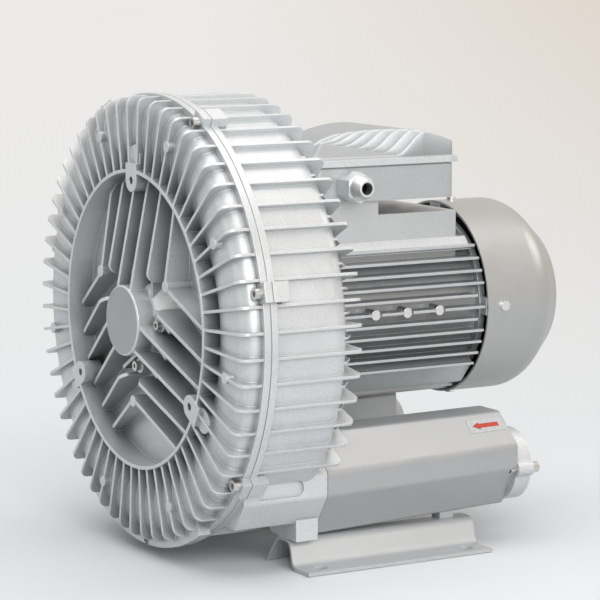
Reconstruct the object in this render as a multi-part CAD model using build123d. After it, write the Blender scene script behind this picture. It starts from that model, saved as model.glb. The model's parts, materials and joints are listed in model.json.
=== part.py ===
"""Side channel blower with a fan-cooled motor, two silencers and two foot rails.

Millimetres. +Z is up, the motor axis runs along Y, the cover faces -Y and the motor +Y.
The origin is the centre of the four foot holes, on the floor.
"""

import os
from math import cos, hypot, radians, sin, sqrt, tan

from build123d import *

os.makedirs("parts", exist_ok=True)

# ---- driving dimensions -------------------------------------------------------------
AXIS_HEIGHT = 210.0  # motor axis above the floor
FIT = 0.05  # radial clearance of a close fit in one body
RUN = 0.3  # clearance between a standing and a turning piece

JOINT = -158.5  # plane where the cover ends; the gasket starts here
GASKET = 1.0

# blower casing, radii about the motor axis and lengths along it
BODY_R = 190.0
FLANGE_R = BODY_R + 7.0
FLANGE_T = 6.0
FIN_R = BODY_R + 5.0
FIN_T = 2.6
FIN_COUNT = 56
LUG_COUNT = 7
LUG_R = BODY_R + 14.0
LUG_WIDTH = 17.0
SCREW_CIRCLE_R = BODY_R + 6.0
SKIRT_R = BODY_R + 11.0  # plain band of the cover at the bottom
SKIRT_ANGLE = 60.0
RIM_R = 131.5
RIM_WALL = 3.0
EAR_HOLE_R = 122.0  # radius of the ear holes' circle
EAR_WIDTH = 20.0
RIM_HEIGHT = 27.6  # rim in front of the joint plane
WALL = 5.0

# front hub and its bearing
HUB_R = 31.0
HUB_HEIGHT = 38.0
HUB_STEP = 17.0  # hub front to the collar behind it
HUB_COLLAR_R = 33.0
HUB_FOOT_R = 44.0
CAP_SCREW_CIRCLE_R = 41.0
CAP_R = 47.0
CAP_T = 4.0

# pinwheel ribs on the dished floor inside the rim
RIB_T = 3.2
RIB_PITCH = 24.4
RIB_SETS = (90.0, -30.0, 210.0)
STUB_REACH = 57.0

# impeller
IMPELLER_R = BODY_R - 6.5
IMPELLER_WIDTH = 49.0
CELL_R = 131.0
BLADE_COUNT = 36
BLADE_T = 2.4
CHANNEL_DEPTH = 19.5
STRIPPER_ANGLE = 30.0  # closed stretch of the side channel, at the bottom

# shaft and bearings
BEARING_BORE_R = 12.5
BEARING_R = 26.0
BEARING_WIDTH = 15.0
BALL_COUNT = 8
IMPELLER_SEAT_R = 14.0
SHAFT_R = 17.0
ROTOR_SEAT_R = 19.0
FAN_SEAT_R = 9.0
KEY_WIDTH = 8.0
KEY_HEIGHT = 7.0

# motor
NECK_LENGTH = 45.9  # housing web to the motor flange
MOTOR_LENGTH = 186.0
MOTOR_FLANGE_R = 92.0
MOTOR_FLANGE_T = 8.0
STATOR_R = 65.0
MOTOR_WALL = 6.0
MOTOR_FIN_R = 88.0
MOTOR_FIN_PITCH = 10.8
MOTOR_FIN_T = 2.4
END_TURN_ROOM = 91.0  # motor length that the stack leaves free
ROTOR_R = 38.5
AIR_GAP = 0.5
COWL_R = 89.0
COWL_T = 2.0
COWL_LENGTH = 97.0

# terminal box
BOX_HALF_WIDTH = 63.0
BOX_LENGTH = 145.0
BOX_BOTTOM = AXIS_HEIGHT + 99.0
BOX_HEIGHT = 30.0
BOX_WALL = 3.5
BOX_GASKET = 1.5
GLAND_Z = AXIS_HEIGHT + 113.5
GLAND_HEX = 24.0  # across flats
CABLE_HOLE_R = 5.5

# silencers
SILENCER_X = 104.0
SILENCER_Z = AXIS_HEIGHT - 141.0
SILENCER_LENGTH = 197.5
SILENCER_WALL = 4.0
PORT_R = 22.4
PORT_FLANGE_R = PORT_R + 10.1
PORT_EAR = PORT_R + 8.6  # port screws, from the port axis
PORT_LENGTH = 16.0

# foot rails
RAIL_START = -94.5
RAIL_LENGTH = 189.0
RAIL_T = 3.0
RAIL_TOP = 26.0
FOOT_SPACING_X = 268.0
FOOT_SPACING_Y = 150.0
FOOT_HOLE_R = 7.0

SEAL_R = 27.0
MOTOR_SCREW_R = 85.5
RAIL_SCREW_X = 103.7
RAIL_SCREW_Y = (RAIL_START + 11, RAIL_START + 165)
SILENCER_EAR_X = 57.0
SILENCER_EAR_Z = (AXIS_HEIGHT - 110, AXIS_HEIGHT - 152)

# ---- derived stations along Y -------------------------------------------------------
HOUSING_FACE = JOINT + GASKET
IMPELLER_START = JOINT + 3.3
IMPELLER_END = IMPELLER_START + IMPELLER_WIDTH
COVER_WEB_BACK = IMPELLER_START - 0.8
COVER_WEB_FRONT = COVER_WEB_BACK - 6.5
HOUSING_WEB_FRONT = IMPELLER_END + 0.8
RIM_FRONT = JOINT - RIM_HEIGHT
HUB_FRONT = JOINT - HUB_HEIGHT
HUB_COLLAR = HUB_FRONT + HUB_STEP
FRONT_BEARING_END = COVER_WEB_BACK - CAP_T
FRONT_BEARING_START = FRONT_BEARING_END - BEARING_WIDTH
MOTOR_START = HOUSING_WEB_FRONT + NECK_LENGTH
MOTOR_END = MOTOR_START + MOTOR_LENGTH
STACK_START = MOTOR_START + 49.5
STACK_END = MOTOR_END - (END_TURN_ROOM - 49.5)
REAR_BEARING_START = MOTOR_END + 1.0
REAR_BEARING_END = REAR_BEARING_START + BEARING_WIDTH
FAN_START = REAR_BEARING_END + 12.5
COWL_START = MOTOR_END + 1.7
COWL_SCREW_Y = MOTOR_END + 19.0
SIDE_SCREW_Y = (MOTOR_START + 71.0, MOTOR_START + 104.0, MOTOR_START + 138.0)
BOX_START = MOTOR_START + 22.0
BOX_END = BOX_START + BOX_LENGTH
PEDESTAL_STEP = BOX_START + 67.5
GLAND_Y = BOX_START + 33.5
BOARD_Y = BOX_END - 45.5
SILENCER_START = IMPELLER_END + 36.2
SILENCER_END = SILENCER_START + SILENCER_LENGTH
SHOULDER = HOUSING_FACE + IMPELLER_WIDTH + 18.0
FIN_REAR = IMPELLER_END + 38.7
CHAMBER_R = IMPELLER_R + 1.5
CHANNEL_OUT_R = IMPELLER_R
CHANNEL_MID_R = (CELL_R + CHANNEL_OUT_R) / 2
FIN_STEP = 360.0 / FIN_COUNT
LUG_ANGLES = [-90 + i * 360.0 / LUG_COUNT for i in range(LUG_COUNT)]
FIN_ANGLES = [-90 + (i + 0.5) * FIN_STEP for i in range(FIN_COUNT)]
FIN_BOSS_ANGLES = [FIN_ANGLES[i] for i in (3, 12, 18, 24, 31, 37, 43, 52)]


# ---- shape helpers ------------------------------------------------------------------
def profile(start, *steps):
    """Closed face; a step is a point, or a pair of points for an arc through the first."""
    edges = []
    here = start
    for step in steps:
        if isinstance(step[0], tuple):
            edges.append(ThreePointArc(here, step[0], step[1]))
            here = step[1]
        else:
            edges.append(Line(here, step))
            here = step
    edges.append(Line(here, start))
    return Face(Wire(edges))


def on_axis(shape):
    """Lift a shape built around the Y axis to the motor axis."""
    return Pos(0, 0, AXIS_HEIGHT) * shape


def turned(face):
    """Revolve an (r, y) face about the motor axis."""
    return on_axis(revolve(face, Axis.Y, 360))


def ring(outer, inner, start, end):
    """Plain ring about the motor axis."""
    return turned(profile((inner, start), (outer, start), (outer, end), (inner, end)))


def disc(radius, start, end):
    """Plain disc about the motor axis."""
    return y_rod(0, AXIS_HEIGHT, radius, start, end)


def y_rod(x, z, radius, start, end):
    """Round rod along Y."""
    lying = Rot(-90, 0, 0) * Cylinder(radius, end - start, align=(Align.CENTER, Align.CENTER, Align.MIN))
    return Pos(x, start, z) * lying


def x_rod(y, z, radius, start, end):
    """Round rod along X."""
    lying = Rot(0, 90, 0) * Cylinder(radius, end - start, align=(Align.CENTER, Align.CENTER, Align.MIN))
    return Pos(start, y, z) * lying


def z_rod(x, y, radius, start, end):
    """Round rod along Z."""
    return Pos(x, y, start) * Cylinder(radius, end - start, align=(Align.CENTER, Align.CENTER, Align.MIN))


def block(x0, x1, y0, y1, z0, z1):
    """Box between two corners."""
    return Pos(x0, y0, z0) * Box(x1 - x0, y1 - y0, z1 - z0, align=(Align.MIN, Align.MIN, Align.MIN))


def at_angle(shape, angle):
    """Turn a shape built on the (r, y) plane to an angle from +X towards +Z."""
    return on_axis(Rot(0, -angle, 0) * shape)


def plate(face, thickness, offset=0.0):
    """Plate of an (r, y) face, centred on its plane or set to one side."""
    return Pos(0, 0, offset) * extrude(face, thickness / 2, both=True)


def polar(radius, angle):
    """Point at a radius and angle about the motor axis, as (x, z)."""
    return radius * cos(radians(angle)), AXIS_HEIGHT + radius * sin(radians(angle))


def hex_bar(across_flats, length):
    """Hexagonal bar standing on the XY plane."""
    return extrude(RegularPolygon(across_flats / 2, 6, major_radius=False), length)


def socket_screw(shank_r, length, head_r, head_height, socket):
    """Socket head screw pointing along +Z, seated at the origin, head below it."""
    shank = Cylinder(shank_r, length, align=(Align.CENTER, Align.CENTER, Align.MIN))
    head = Cylinder(head_r, head_height, align=(Align.CENTER, Align.CENTER, Align.MAX))
    hollow = Pos(0, 0, -head_height) * hex_bar(socket, head_height * 0.55)
    return shank + head - hollow


def plain_screw(shank_r, length, head_r, head_height):
    """Round head screw pointing along +Z, seated at the origin."""
    shank = Cylinder(shank_r, length, align=(Align.CENTER, Align.CENTER, Align.MIN))
    head = Cylinder(head_r, head_height, align=(Align.CENTER, Align.CENTER, Align.MAX))
    return shank + head


TO_PLUS_Y = Rot(-90, 0, 0)
TO_MINUS_Y = Rot(90, 0, 0)


def save(name, *solids):
    """Write one node from one or more separate solids."""
    whole = solids[0] if len(solids) == 1 else Compound(children=list(solids))
    export_step(whole, f"parts/{name}.step")


def mirrored(shape):
    """The same shape on the other side of the YZ plane."""
    return mirror(shape, about=Plane.YZ)


# ---- blower casing ------------------------------------------------------------------
CHANNEL_SHAPE = ((-0.88, 0.52), (-0.52, 0.9), (0.0, 1.0), (0.52, 0.9), (0.88, 0.52))


def channel(edge, bottom):
    """Side channel cavity in one casing half, open except along the stripper."""
    half = (CHANNEL_OUT_R - CELL_R) / 2
    points = [(CHANNEL_MID_R + x * half, edge + y * (bottom - edge)) for x, y in CHANNEL_SHAPE]
    face = profile((CELL_R, edge), *points, (CHANNEL_OUT_R, edge))
    swept = revolve(face, Axis.Y, 360 - STRIPPER_ANGLE)
    return on_axis(Rot(0, 90 - STRIPPER_ANGLE / 2, 0) * swept)


def cover_shell():
    """Turned body of the front cover, with its rim, floor and hub."""
    flange_front = JOINT - FLANGE_T
    rim_in = RIM_R - RIM_WALL
    crown_r = (BODY_R + RIM_R - 1.1) / 2
    bearing_r = BEARING_R + FIT
    face = profile(
        (FLANGE_R, JOINT),
        (FLANGE_R, flange_front),
        (BODY_R - 0.5, flange_front),
        ((BODY_R - 3.8, JOINT - 15.3), (BODY_R - 12.1, JOINT - 20.1)),
        ((crown_r, JOINT - 21.3), (RIM_R + 11.0, JOINT - 17.5)),
        ((RIM_R + 4.9, JOINT - 14.1), (RIM_R, JOINT - 9.0)),
        (RIM_R, RIM_FRONT),
        (rim_in, RIM_FRONT),
        (rim_in, COVER_WEB_FRONT),
        (HUB_FOOT_R, COVER_WEB_FRONT),
        (HUB_COLLAR_R, HUB_COLLAR),
        (HUB_R, HUB_COLLAR),
        (HUB_R, HUB_FRONT + 1.0),
        (HUB_R - 1.0, HUB_FRONT),
        (0, HUB_FRONT),
        (0, FRONT_BEARING_START - 13.0),
        (18.0, FRONT_BEARING_START - 13.0),
        (18.0, FRONT_BEARING_START),
        (bearing_r, FRONT_BEARING_START),
        (bearing_r, FRONT_BEARING_END),
        (CAP_R, FRONT_BEARING_END),
        (CAP_R, COVER_WEB_BACK),
        (CELL_R, COVER_WEB_BACK),
        (CHAMBER_R, COVER_WEB_BACK),
        (CHAMBER_R, JOINT),
    )
    return turned(face)


def cover_fin():
    """Radial fin of the cover, from the rim round its corner to the flange."""
    front = RIM_FRONT + 1.2
    root = JOINT - 5.0
    corner = 8.0
    near = corner * (1 - sqrt(0.5))
    return plate(
        profile(
            (RIM_R - 1.0, root),
            (RIM_R - 1.0, front),
            (FIN_R - corner, front),
            ((FIN_R - near, front + near), (FIN_R, front + corner)),
            (FIN_R, root),
        ),
        FIN_T,
    )


def cover_rib(offset):
    """One straight floor rib, at a sideways offset from its set's direction."""
    edge_r = 122.0
    edge_y = JOINT - 17.6
    slope = 0.2
    reach = sqrt((RIM_R - 2.0) ** 2 - offset**2)
    shoulder = sqrt(edge_r**2 - offset**2)
    floor = COVER_WEB_FRONT + 1.0
    side = abs(offset)
    beside_hub = HUB_R < side < 2 * RIB_PITCH
    if beside_hub:
        start = side
    else:
        start = max(side * tan(radians(30)), sqrt(max((HUB_R - 1.5) ** 2 - side**2, 0)))
    start_y = edge_y - slope * (edge_r - hypot(start, side))
    corner = [(start, start_y)]
    if beside_hub:
        corner = [(start, start_y + 9.0), ((start + 2.4, start_y + 2.6), (start + 8.0, start_y))]
    return plate(
        profile((start, floor), *corner, (shoulder, edge_y), (reach, edge_y + 6.0), (reach, floor)),
        RIB_T,
        offset,
    )


def cover_stub(offset):
    """Low rib between two floor ribs, at the foot of the hub."""
    start = sqrt(HUB_R**2 - offset**2) - 1.0
    reach = sqrt(STUB_REACH**2 - offset**2)
    floor = COVER_WEB_FRONT + 1.0
    outline = profile((start, floor), (start, HUB_COLLAR), (reach, HUB_COLLAR), (reach, floor))
    return plate(outline, RIB_T, offset)


def cover_ear():
    """Tapped ear across the rim, rounded at its inner end, with a lower post behind it."""
    half = EAR_WIDTH / 2
    inner = EAR_HOLE_R
    outline = profile((inner, -half), ((inner - half, 0), (inner, half)), (137.0, half), (137.0, -half))
    post = profile((136.0, -half), (143.0, -half), ((143.0 + half, 0), (143.0, half)), (136.0, half))
    front = extrude(Plane.XZ * outline, 18.0, dir=(0, 1, 0))
    return front + Pos(0, 4.0, 0) * extrude(Plane.XZ * post, 14.0, dir=(0, 1, 0))


def cover_skirt():
    """Plain band round the bottom of the cover, level with its flange."""
    back, front = JOINT - 5.0, JOINT - 16.0
    face = profile((CHAMBER_R + 2, back), (SKIRT_R, back), (SKIRT_R, front), (BODY_R - 4, front + 2))
    band = revolve(face, Axis.Y, SKIRT_ANGLE)
    return on_axis(Rot(0, 90 + SKIRT_ANGLE / 2, 0) * Rot(0, -SKIRT_ANGLE, 0) * band)


def front_cover():
    """Ribbed cover casting with the bearing hub, the fins and the screw lugs."""
    shell = cover_shell() - channel(COVER_WEB_BACK, COVER_WEB_BACK - CHANNEL_DEPTH)
    added = [at_angle(cover_fin(), angle) for angle in FIN_ANGLES]
    lug_y = JOINT - FLANGE_T - 1.0
    half = LUG_WIDTH / 2
    lug = block(CHAMBER_R + 1.5, LUG_R, lug_y, JOINT, -half, half)
    added += [at_angle(lug, angle) for angle in LUG_ANGLES]
    for direction in RIB_SETS:
        added += [at_angle(cover_rib(RIB_PITCH * (i - 2.5)), direction) for i in range(6)]
        added += [at_angle(cover_stub(RIB_PITCH * i), direction) for i in (-1, 0, 1)]
        ear = Pos(0, RIM_FRONT - 0.4, 0) * cover_ear()
        added.append(at_angle(ear, direction))
        x, z = polar(2.95 * RIB_PITCH, direction - 60)
        added.append(y_rod(x, z, 5.0, JOINT - 28.0, COVER_WEB_FRONT + 1))
    for angle in (0, 90, 180, 270):
        x, z = polar(CAP_SCREW_CIRCLE_R, angle)
        added.append(y_rod(x, z, 6.5, HUB_COLLAR, COVER_WEB_FRONT + 1))
    added.append(cover_skirt())
    for angle in FIN_BOSS_ANGLES:
        x, z = polar(BODY_R - 22.0, angle)
        added.append(y_rod(x, z, 4.8, RIM_FRONT + 0.6, JOINT - 18.0))
    cover = shell + added
    cut = []
    for angle in LUG_ANGLES:
        x, z = polar(SCREW_CIRCLE_R, angle)
        cut.append(y_rod(x, z, 3.3, lug_y - 1, JOINT + 1))
        cut.append(y_rod(x, z, 5.8, lug_y - 14, lug_y))
    for direction in RIB_SETS:
        x, z = polar(EAR_HOLE_R, direction)
        cut.append(y_rod(x, z, 3.4, RIM_FRONT - 1, RIM_FRONT + 13))
    for angle in (0, 90, 180, 270):
        x, z = polar(CAP_SCREW_CIRCLE_R, angle)
        cut.append(y_rod(x, z, 2.75, JOINT - 22, JOINT + 1))
        cut.append(y_rod(x, z, 4.8, HUB_FRONT + 2, HUB_COLLAR))
    return cover - cut


DUCT_FRONT = (
    (74, -94), (108, -94), (139.5, -124), (139.5, -144), (113, -183), (84, -183), (64, -165), (64, -104)
)
DUCT_REAR = (
    (75, -92), (108, -92), (138.5, -118), (138.5, -139), (113, -176), (84, -176), (65, -160), (65, -102)
)


def duct_outline(inset, y):
    """Cross-section of the right duct or silencer at a station; the silencer tapers to its rear end."""
    share = min(max((y - SILENCER_START) / SILENCER_LENGTH, 0.0), 1.0)
    corners = [
        (x0 + (x1 - x0) * share, z0 + (z1 - z0) * share)
        for (x0, z0), (x1, z1) in zip(DUCT_FRONT, DUCT_REAR)
    ]
    face = fillet(make_face(Polyline(*corners, close=True)).vertices(), 7)
    if inset:
        face = offset(face, -inset, kind=Kind.INTERSECTION)
    return Pos(0, y, AXIS_HEIGHT) * (Plane.XZ * face)


def duct(inset, start, end):
    """Right duct or silencer as a solid between two stations."""
    if end <= SILENCER_START:
        return extrude(duct_outline(inset, start), end - start, dir=(0, 1, 0))
    return loft([duct_outline(inset, start), duct_outline(inset, end)], ruled=True)


def silencer_ears(start, end):
    """Pair of screw ears on the inner side of the right duct or silencer."""
    return [block(SILENCER_EAR_X - 7, 67, start, end, z - 7, z + 7) for z in SILENCER_EAR_Z]


def housing_shell():
    """Turned body of the rear housing, outside only."""
    rear = HOUSING_WEB_FRONT + 33.0
    shoulder = SHOULDER
    neck_out = MOTOR_FLANGE_R
    web_back = HOUSING_WEB_FRONT + 9.0
    return turned(
        profile(
            (0, HOUSING_FACE),
            (FLANGE_R, HOUSING_FACE),
            (FLANGE_R, HOUSING_FACE + FLANGE_T),
            (BODY_R, HOUSING_FACE + FLANGE_T),
            (BODY_R, shoulder - 2),
            ((BODY_R - 4.7, shoulder + 9.3), (BODY_R - 16, shoulder + 14)),
            (134, rear),
            (126, rear),
            (126, web_back),
            (neck_out, web_back),
            (neck_out, MOTOR_START),
            (neck_out - 13, MOTOR_START),
            (neck_out - 13, web_back),
            (34, web_back),
            (34, web_back + 18),
            (0, web_back + 18),
        )
    )


def housing_fin():
    """Axial fin of the housing, with a rounded rear corner."""
    front = HOUSING_FACE + FLANGE_T - 1
    rear = FIN_REAR
    corner = 7.0
    near = corner * (1 - sqrt(0.5))
    return plate(
        profile(
            (CHAMBER_R + 1.5, front),
            (FIN_R, front),
            (FIN_R, rear - corner),
            ((FIN_R - near, rear - near), (FIN_R - corner, rear)),
            (140, rear - 2),
            (140, rear - 8),
            (172, rear - 16),
            (CHAMBER_R + 1.5, rear - 30),
        ),
        FIN_T,
    )


def shoulder_rib():
    """Small rib on the rear shoulder, half way between two fins."""
    return plate(
        profile(
            (BODY_R - 18, SHOULDER + 4),
            (BODY_R - 3, SHOULDER + 4),
            (BODY_R - 3, SHOULDER + 11),
            (BODY_R - 12, SHOULDER + 19),
            (BODY_R - 38, SHOULDER + 19),
            (BODY_R - 38, SHOULDER + 13),
        ),
        2.0,
    )


def from_bottom(angle):
    """How far an angle lies from the bottom, in degrees."""
    return abs((angle + 270) % 360 - 180)


def side_pocket():
    """Long shallow pocket in the outer face of the right duct, rounded at both ends."""
    start, end = HOUSING_FACE + 16.0, SILENCER_START - 24.0
    pocket = block(136.5, 145, start, end, AXIS_HEIGHT - 141, AXIS_HEIGHT - 127)
    return fillet(pocket.edges().filter_by(Axis.X), 6)


def rear_housing():
    """Housing casting with the impeller chamber, air ducts, fins, lugs and motor neck."""
    lug_end = HOUSING_FACE + 15.0
    half = LUG_WIDTH / 2
    lug = block(CHAMBER_R + 1.5, LUG_R, HOUSING_FACE, lug_end, -half, half)
    duct_floor = AXIS_HEIGHT - 168.0
    below = block(60, 150, HOUSING_FACE, RAIL_START, AXIS_HEIGHT - 190, duct_floor)
    right_duct = duct(0, HOUSING_FACE + FLANGE_T - 1, SILENCER_START - GASKET) - below
    leg = block(96, 127, RAIL_START, RAIL_START + 21.5, RAIL_TOP, AXIS_HEIGHT - 165)
    ears = silencer_ears(SILENCER_START - GASKET - 14, SILENCER_START - GASKET)
    right = [right_duct, leg] + ears
    solid = housing_shell() + right + [mirrored(piece) for piece in right]
    fins = [a for a in FIN_ANGLES if not 20 < from_bottom(a) < 50]
    solid = solid + [at_angle(housing_fin(), angle) for angle in fins]
    halves = [a + FIN_STEP / 2 for a in FIN_ANGLES if not 12 < from_bottom(a + FIN_STEP / 2) < 54]
    solid = solid + [at_angle(shoulder_rib(), angle) for angle in halves]
    solid = solid + [at_angle(lug, angle) for angle in LUG_ANGLES]
    chamber = ring(CHAMBER_R, 0, HOUSING_FACE - 1, HOUSING_WEB_FRONT)
    rear_channel = channel(HOUSING_WEB_FRONT, HOUSING_WEB_FRONT + CHANNEL_DEPTH)
    floor = block(60, 150, HOUSING_FACE, RAIL_START + WALL, AXIS_HEIGHT - 190, duct_floor + WALL)
    passage = duct(WALL, HOUSING_FACE + 16, SILENCER_START) - floor
    web_back = HOUSING_WEB_FRONT + 9.0
    bores = [
        disc(SHAFT_R + 1.0, HOUSING_WEB_FRONT - 1, web_back + 20),
        disc(SEAL_R + FIT, web_back + 4, web_back + 20),
    ]
    for angle in LUG_ANGLES:
        x, z = polar(SCREW_CIRCLE_R, angle)
        bores.append(y_rod(x, z, 3.05, HOUSING_FACE - 1, HOUSING_FACE + 12))
    for angle in (45, 135, 225, 315):
        x, z = polar(MOTOR_SCREW_R, angle)
        bores.append(y_rod(x, z, 4.05, MOTOR_START - 14, MOTOR_START + 1))
    for side in (-1, 1):
        bores.append(z_rod(side * RAIL_SCREW_X, RAIL_SCREW_Y[0], 3.05, 0, RAIL_TOP + 9))
        for z in SILENCER_EAR_Z:
            bores.append(y_rod(side * SILENCER_EAR_X, z, 3.05, SILENCER_START - 14, SILENCER_START))
    right = [passage, side_pocket()]
    return solid - ([chamber, rear_channel] + right + [mirrored(piece) for piece in right] + bores)


def cover_gasket():
    """Flat gasket between the casing flanges, round the chamber and the screw lugs."""
    flat = ring(FLANGE_R, CHAMBER_R + 1.0, JOINT, HOUSING_FACE)
    half = LUG_WIDTH / 2
    lug = block(FLANGE_R - 6, LUG_R, JOINT, HOUSING_FACE, -half, half)
    flat = flat + [at_angle(lug, angle) for angle in LUG_ANGLES]
    holes = [y_rod(*polar(SCREW_CIRCLE_R, angle), 3.3, JOINT - 1, HOUSING_FACE + 1) for angle in LUG_ANGLES]
    return flat - holes


def cover_screws():
    """Socket screws that hold the cover to the housing lugs."""
    seat = JOINT - FLANGE_T - 1.0
    screw = TO_PLUS_Y * socket_screw(3.0, 17.0, 5.0, 6.0, 5.0)
    screws = []
    for angle in LUG_ANGLES:
        x, z = polar(SCREW_CIRCLE_R, angle)
        screws.append(Pos(x, seat, z) * screw)
    return screws


def bearing_cap():
    """Inner cap that holds the front bearing in the cover."""
    flat = ring(CAP_R - FIT, SHAFT_R + 2.5, FRONT_BEARING_END, COVER_WEB_BACK)
    holes = [
        y_rod(*polar(CAP_SCREW_CIRCLE_R, angle), 2.55, FRONT_BEARING_END - 1, COVER_WEB_BACK + 1)
        for angle in (0, 90, 180, 270)
    ]
    return flat - holes


def bearing_cap_screws():
    """Screws through the cover into the bearing cap."""
    seat = HUB_COLLAR
    length = COVER_WEB_BACK - 0.4 - seat
    screw = TO_PLUS_Y * socket_screw(2.5, length, 4.25, 5.0, 4.0)
    return [Pos(x, seat, z) * screw for x, z in (polar(CAP_SCREW_CIRCLE_R, a) for a in (0, 90, 180, 270))]


# ---- shaft line ---------------------------------------------------------------------
BALL_PITCH_R = 19.25
BALL_R = 2.95
INNER_RACE_R = 16.0
OUTER_RACE_R = 22.5


def bearing_outer(start):
    """Outer race of a deep-groove bearing."""
    return ring(BEARING_R, OUTER_RACE_R, start, start + BEARING_WIDTH)


def bearing_inner(start):
    """Inner race of a deep-groove bearing."""
    return ring(INNER_RACE_R, BEARING_BORE_R + FIT, start, start + BEARING_WIDTH)


def bearing_balls(start):
    """Balls in a windowed cage, each a separate solid."""
    middle = start + BEARING_WIDTH / 2
    eight = [RegularPolygon(BALL_PITCH_R + t, BALL_COUNT, major_radius=False) for t in (0.9, -0.9)]
    tube = extrude(Plane.XZ * (eight[0] - eight[1]), 10.0, dir=(0, 1, 0))
    cage = on_axis(Pos(0, middle - 5.0, 0) * (Rot(0, 180.0 / BALL_COUNT, 0) * tube))
    window = BALL_R + RUN
    opening = block(BALL_PITCH_R - 3, BALL_PITCH_R + 3, middle - window, middle + window, -window, window)
    angles = [i * 360.0 / BALL_COUNT for i in range(BALL_COUNT)]
    cage = cage - [at_angle(opening, angle) for angle in angles]
    balls = [Pos(x, middle, z) * Sphere(BALL_R) for x, z in (polar(BALL_PITCH_R, a) for a in angles)]
    return [cage] + balls


def shaft():
    """Stepped shaft with the impeller keyway and a tapped front end."""
    front = FRONT_BEARING_START + 0.5
    fan_end = FAN_START + FAN_LENGTH + 4.0
    body = turned(
        profile(
            (0, front),
            (BEARING_BORE_R, front),
            (BEARING_BORE_R, FRONT_BEARING_END),
            (IMPELLER_SEAT_R, FRONT_BEARING_END),
            (IMPELLER_SEAT_R, IMPELLER_END),
            (SHAFT_R, IMPELLER_END),
            (SHAFT_R, STACK_START - 2),
            (ROTOR_SEAT_R, STACK_START - 2),
            (ROTOR_SEAT_R, STACK_END),
            (SHAFT_R, STACK_END),
            (SHAFT_R, REAR_BEARING_START),
            (BEARING_BORE_R, REAR_BEARING_START),
            (BEARING_BORE_R, REAR_BEARING_END),
            (FAN_SEAT_R, REAR_BEARING_END),
            (FAN_SEAT_R, fan_end),
            (0, fan_end),
        )
    )
    return body - [key_space(FIT), disc(4.05, front - 1, front + 22)]


def key_space(gap):
    """Room of the impeller key, with a gap on every side."""
    middle = (IMPELLER_START + IMPELLER_END) / 2
    half = KEY_WIDTH / 2 + gap
    low = AXIS_HEIGHT + IMPELLER_SEAT_R - 4.0 - gap
    return block(-half, half, middle - 18 - gap, middle + 18 + gap, low, low + KEY_HEIGHT + 2 * gap)


def impeller():
    """Impeller with radial blades on a rim, a web and a keyed hub."""
    start, end = IMPELLER_START, IMPELLER_END
    middle = (start + end) / 2
    wheel = turned(
        profile(
            (IMPELLER_SEAT_R + FIT, start),
            (26, start),
            (26, middle - 4),
            (CELL_R - 6, middle - 4),
            (CELL_R - 6, start),
            (CELL_R, start),
            (CELL_R + 3, middle - 3),
            (165, middle),
            (CELL_R + 3, middle + 3),
            (CELL_R, end),
            (CELL_R - 6, end),
            (CELL_R - 6, middle + 4),
            (26, middle + 4),
            (26, end),
            (IMPELLER_SEAT_R + FIT, end),
        )
    )
    root = CELL_R - 1.0
    blade = plate(profile((root, start), (IMPELLER_R, start), (IMPELLER_R, end), (root, end)), BLADE_T)
    wheel = wheel + [at_angle(blade, i * 360.0 / BLADE_COUNT) for i in range(BLADE_COUNT)]
    return wheel - key_space(FIT)


def impeller_spacer():
    """Sleeve between the front bearing and the impeller hub."""
    return ring(SHAFT_R + 0.5, IMPELLER_SEAT_R + FIT, FRONT_BEARING_END, IMPELLER_START)


def shaft_end_washer():
    """Washer that clamps the front bearing on the shaft."""
    return ring(15.5, 4.3, FRONT_BEARING_START - 2.5, FRONT_BEARING_START)


def shaft_end_screw():
    """Screw in the front end of the shaft."""
    screw = TO_PLUS_Y * socket_screw(4.0, 22.0, 6.5, 8.0, 6.0)
    return Pos(0, FRONT_BEARING_START - 2.5, AXIS_HEIGHT) * screw


def shaft_seal():
    """Lip seal in the housing hub."""
    start = HOUSING_WEB_FRONT + 14.0
    return ring(SEAL_R, SHAFT_R + RUN, start, start + 8.0)


# ---- motor --------------------------------------------------------------------------
SLOT_COUNT = 24
SLOT_IN_R = 44.0
SLOT_OUT_R = 56.0
SLOT_WIDTH = 6.0
SHIELD_R = 77.0
FAN_LENGTH = 30.0
PEDESTAL_HALF = 58.0


def motor_fin_plates():
    """Parallel cooling fins: eleven on each side and the upright ones below."""
    start = MOTOR_START + 4
    fins = []
    for i in range(-5, 6):
        z = MOTOR_FIN_PITCH * i
        end = MOTOR_END - 8.0 if abs(i) == 1 else MOTOR_END
        reach = sqrt(MOTOR_FIN_R**2 - z**2) - 1.0
        fin = block(sqrt(68.0**2 - z**2), reach, start, end, z - MOTOR_FIN_T / 2, z + MOTOR_FIN_T / 2)
        fins += [on_axis(fin), on_axis(mirrored(fin))]
    for i in range(-4, 5):
        x = MOTOR_FIN_PITCH * i
        reach = sqrt((MOTOR_FIN_R - 2) ** 2 - x**2)
        low = sqrt(68.0**2 - x**2)
        fins.append(on_axis(block(x - MOTOR_FIN_T / 2, x + MOTOR_FIN_T / 2, start, MOTOR_END, -reach, -low)))
    return fins


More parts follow.
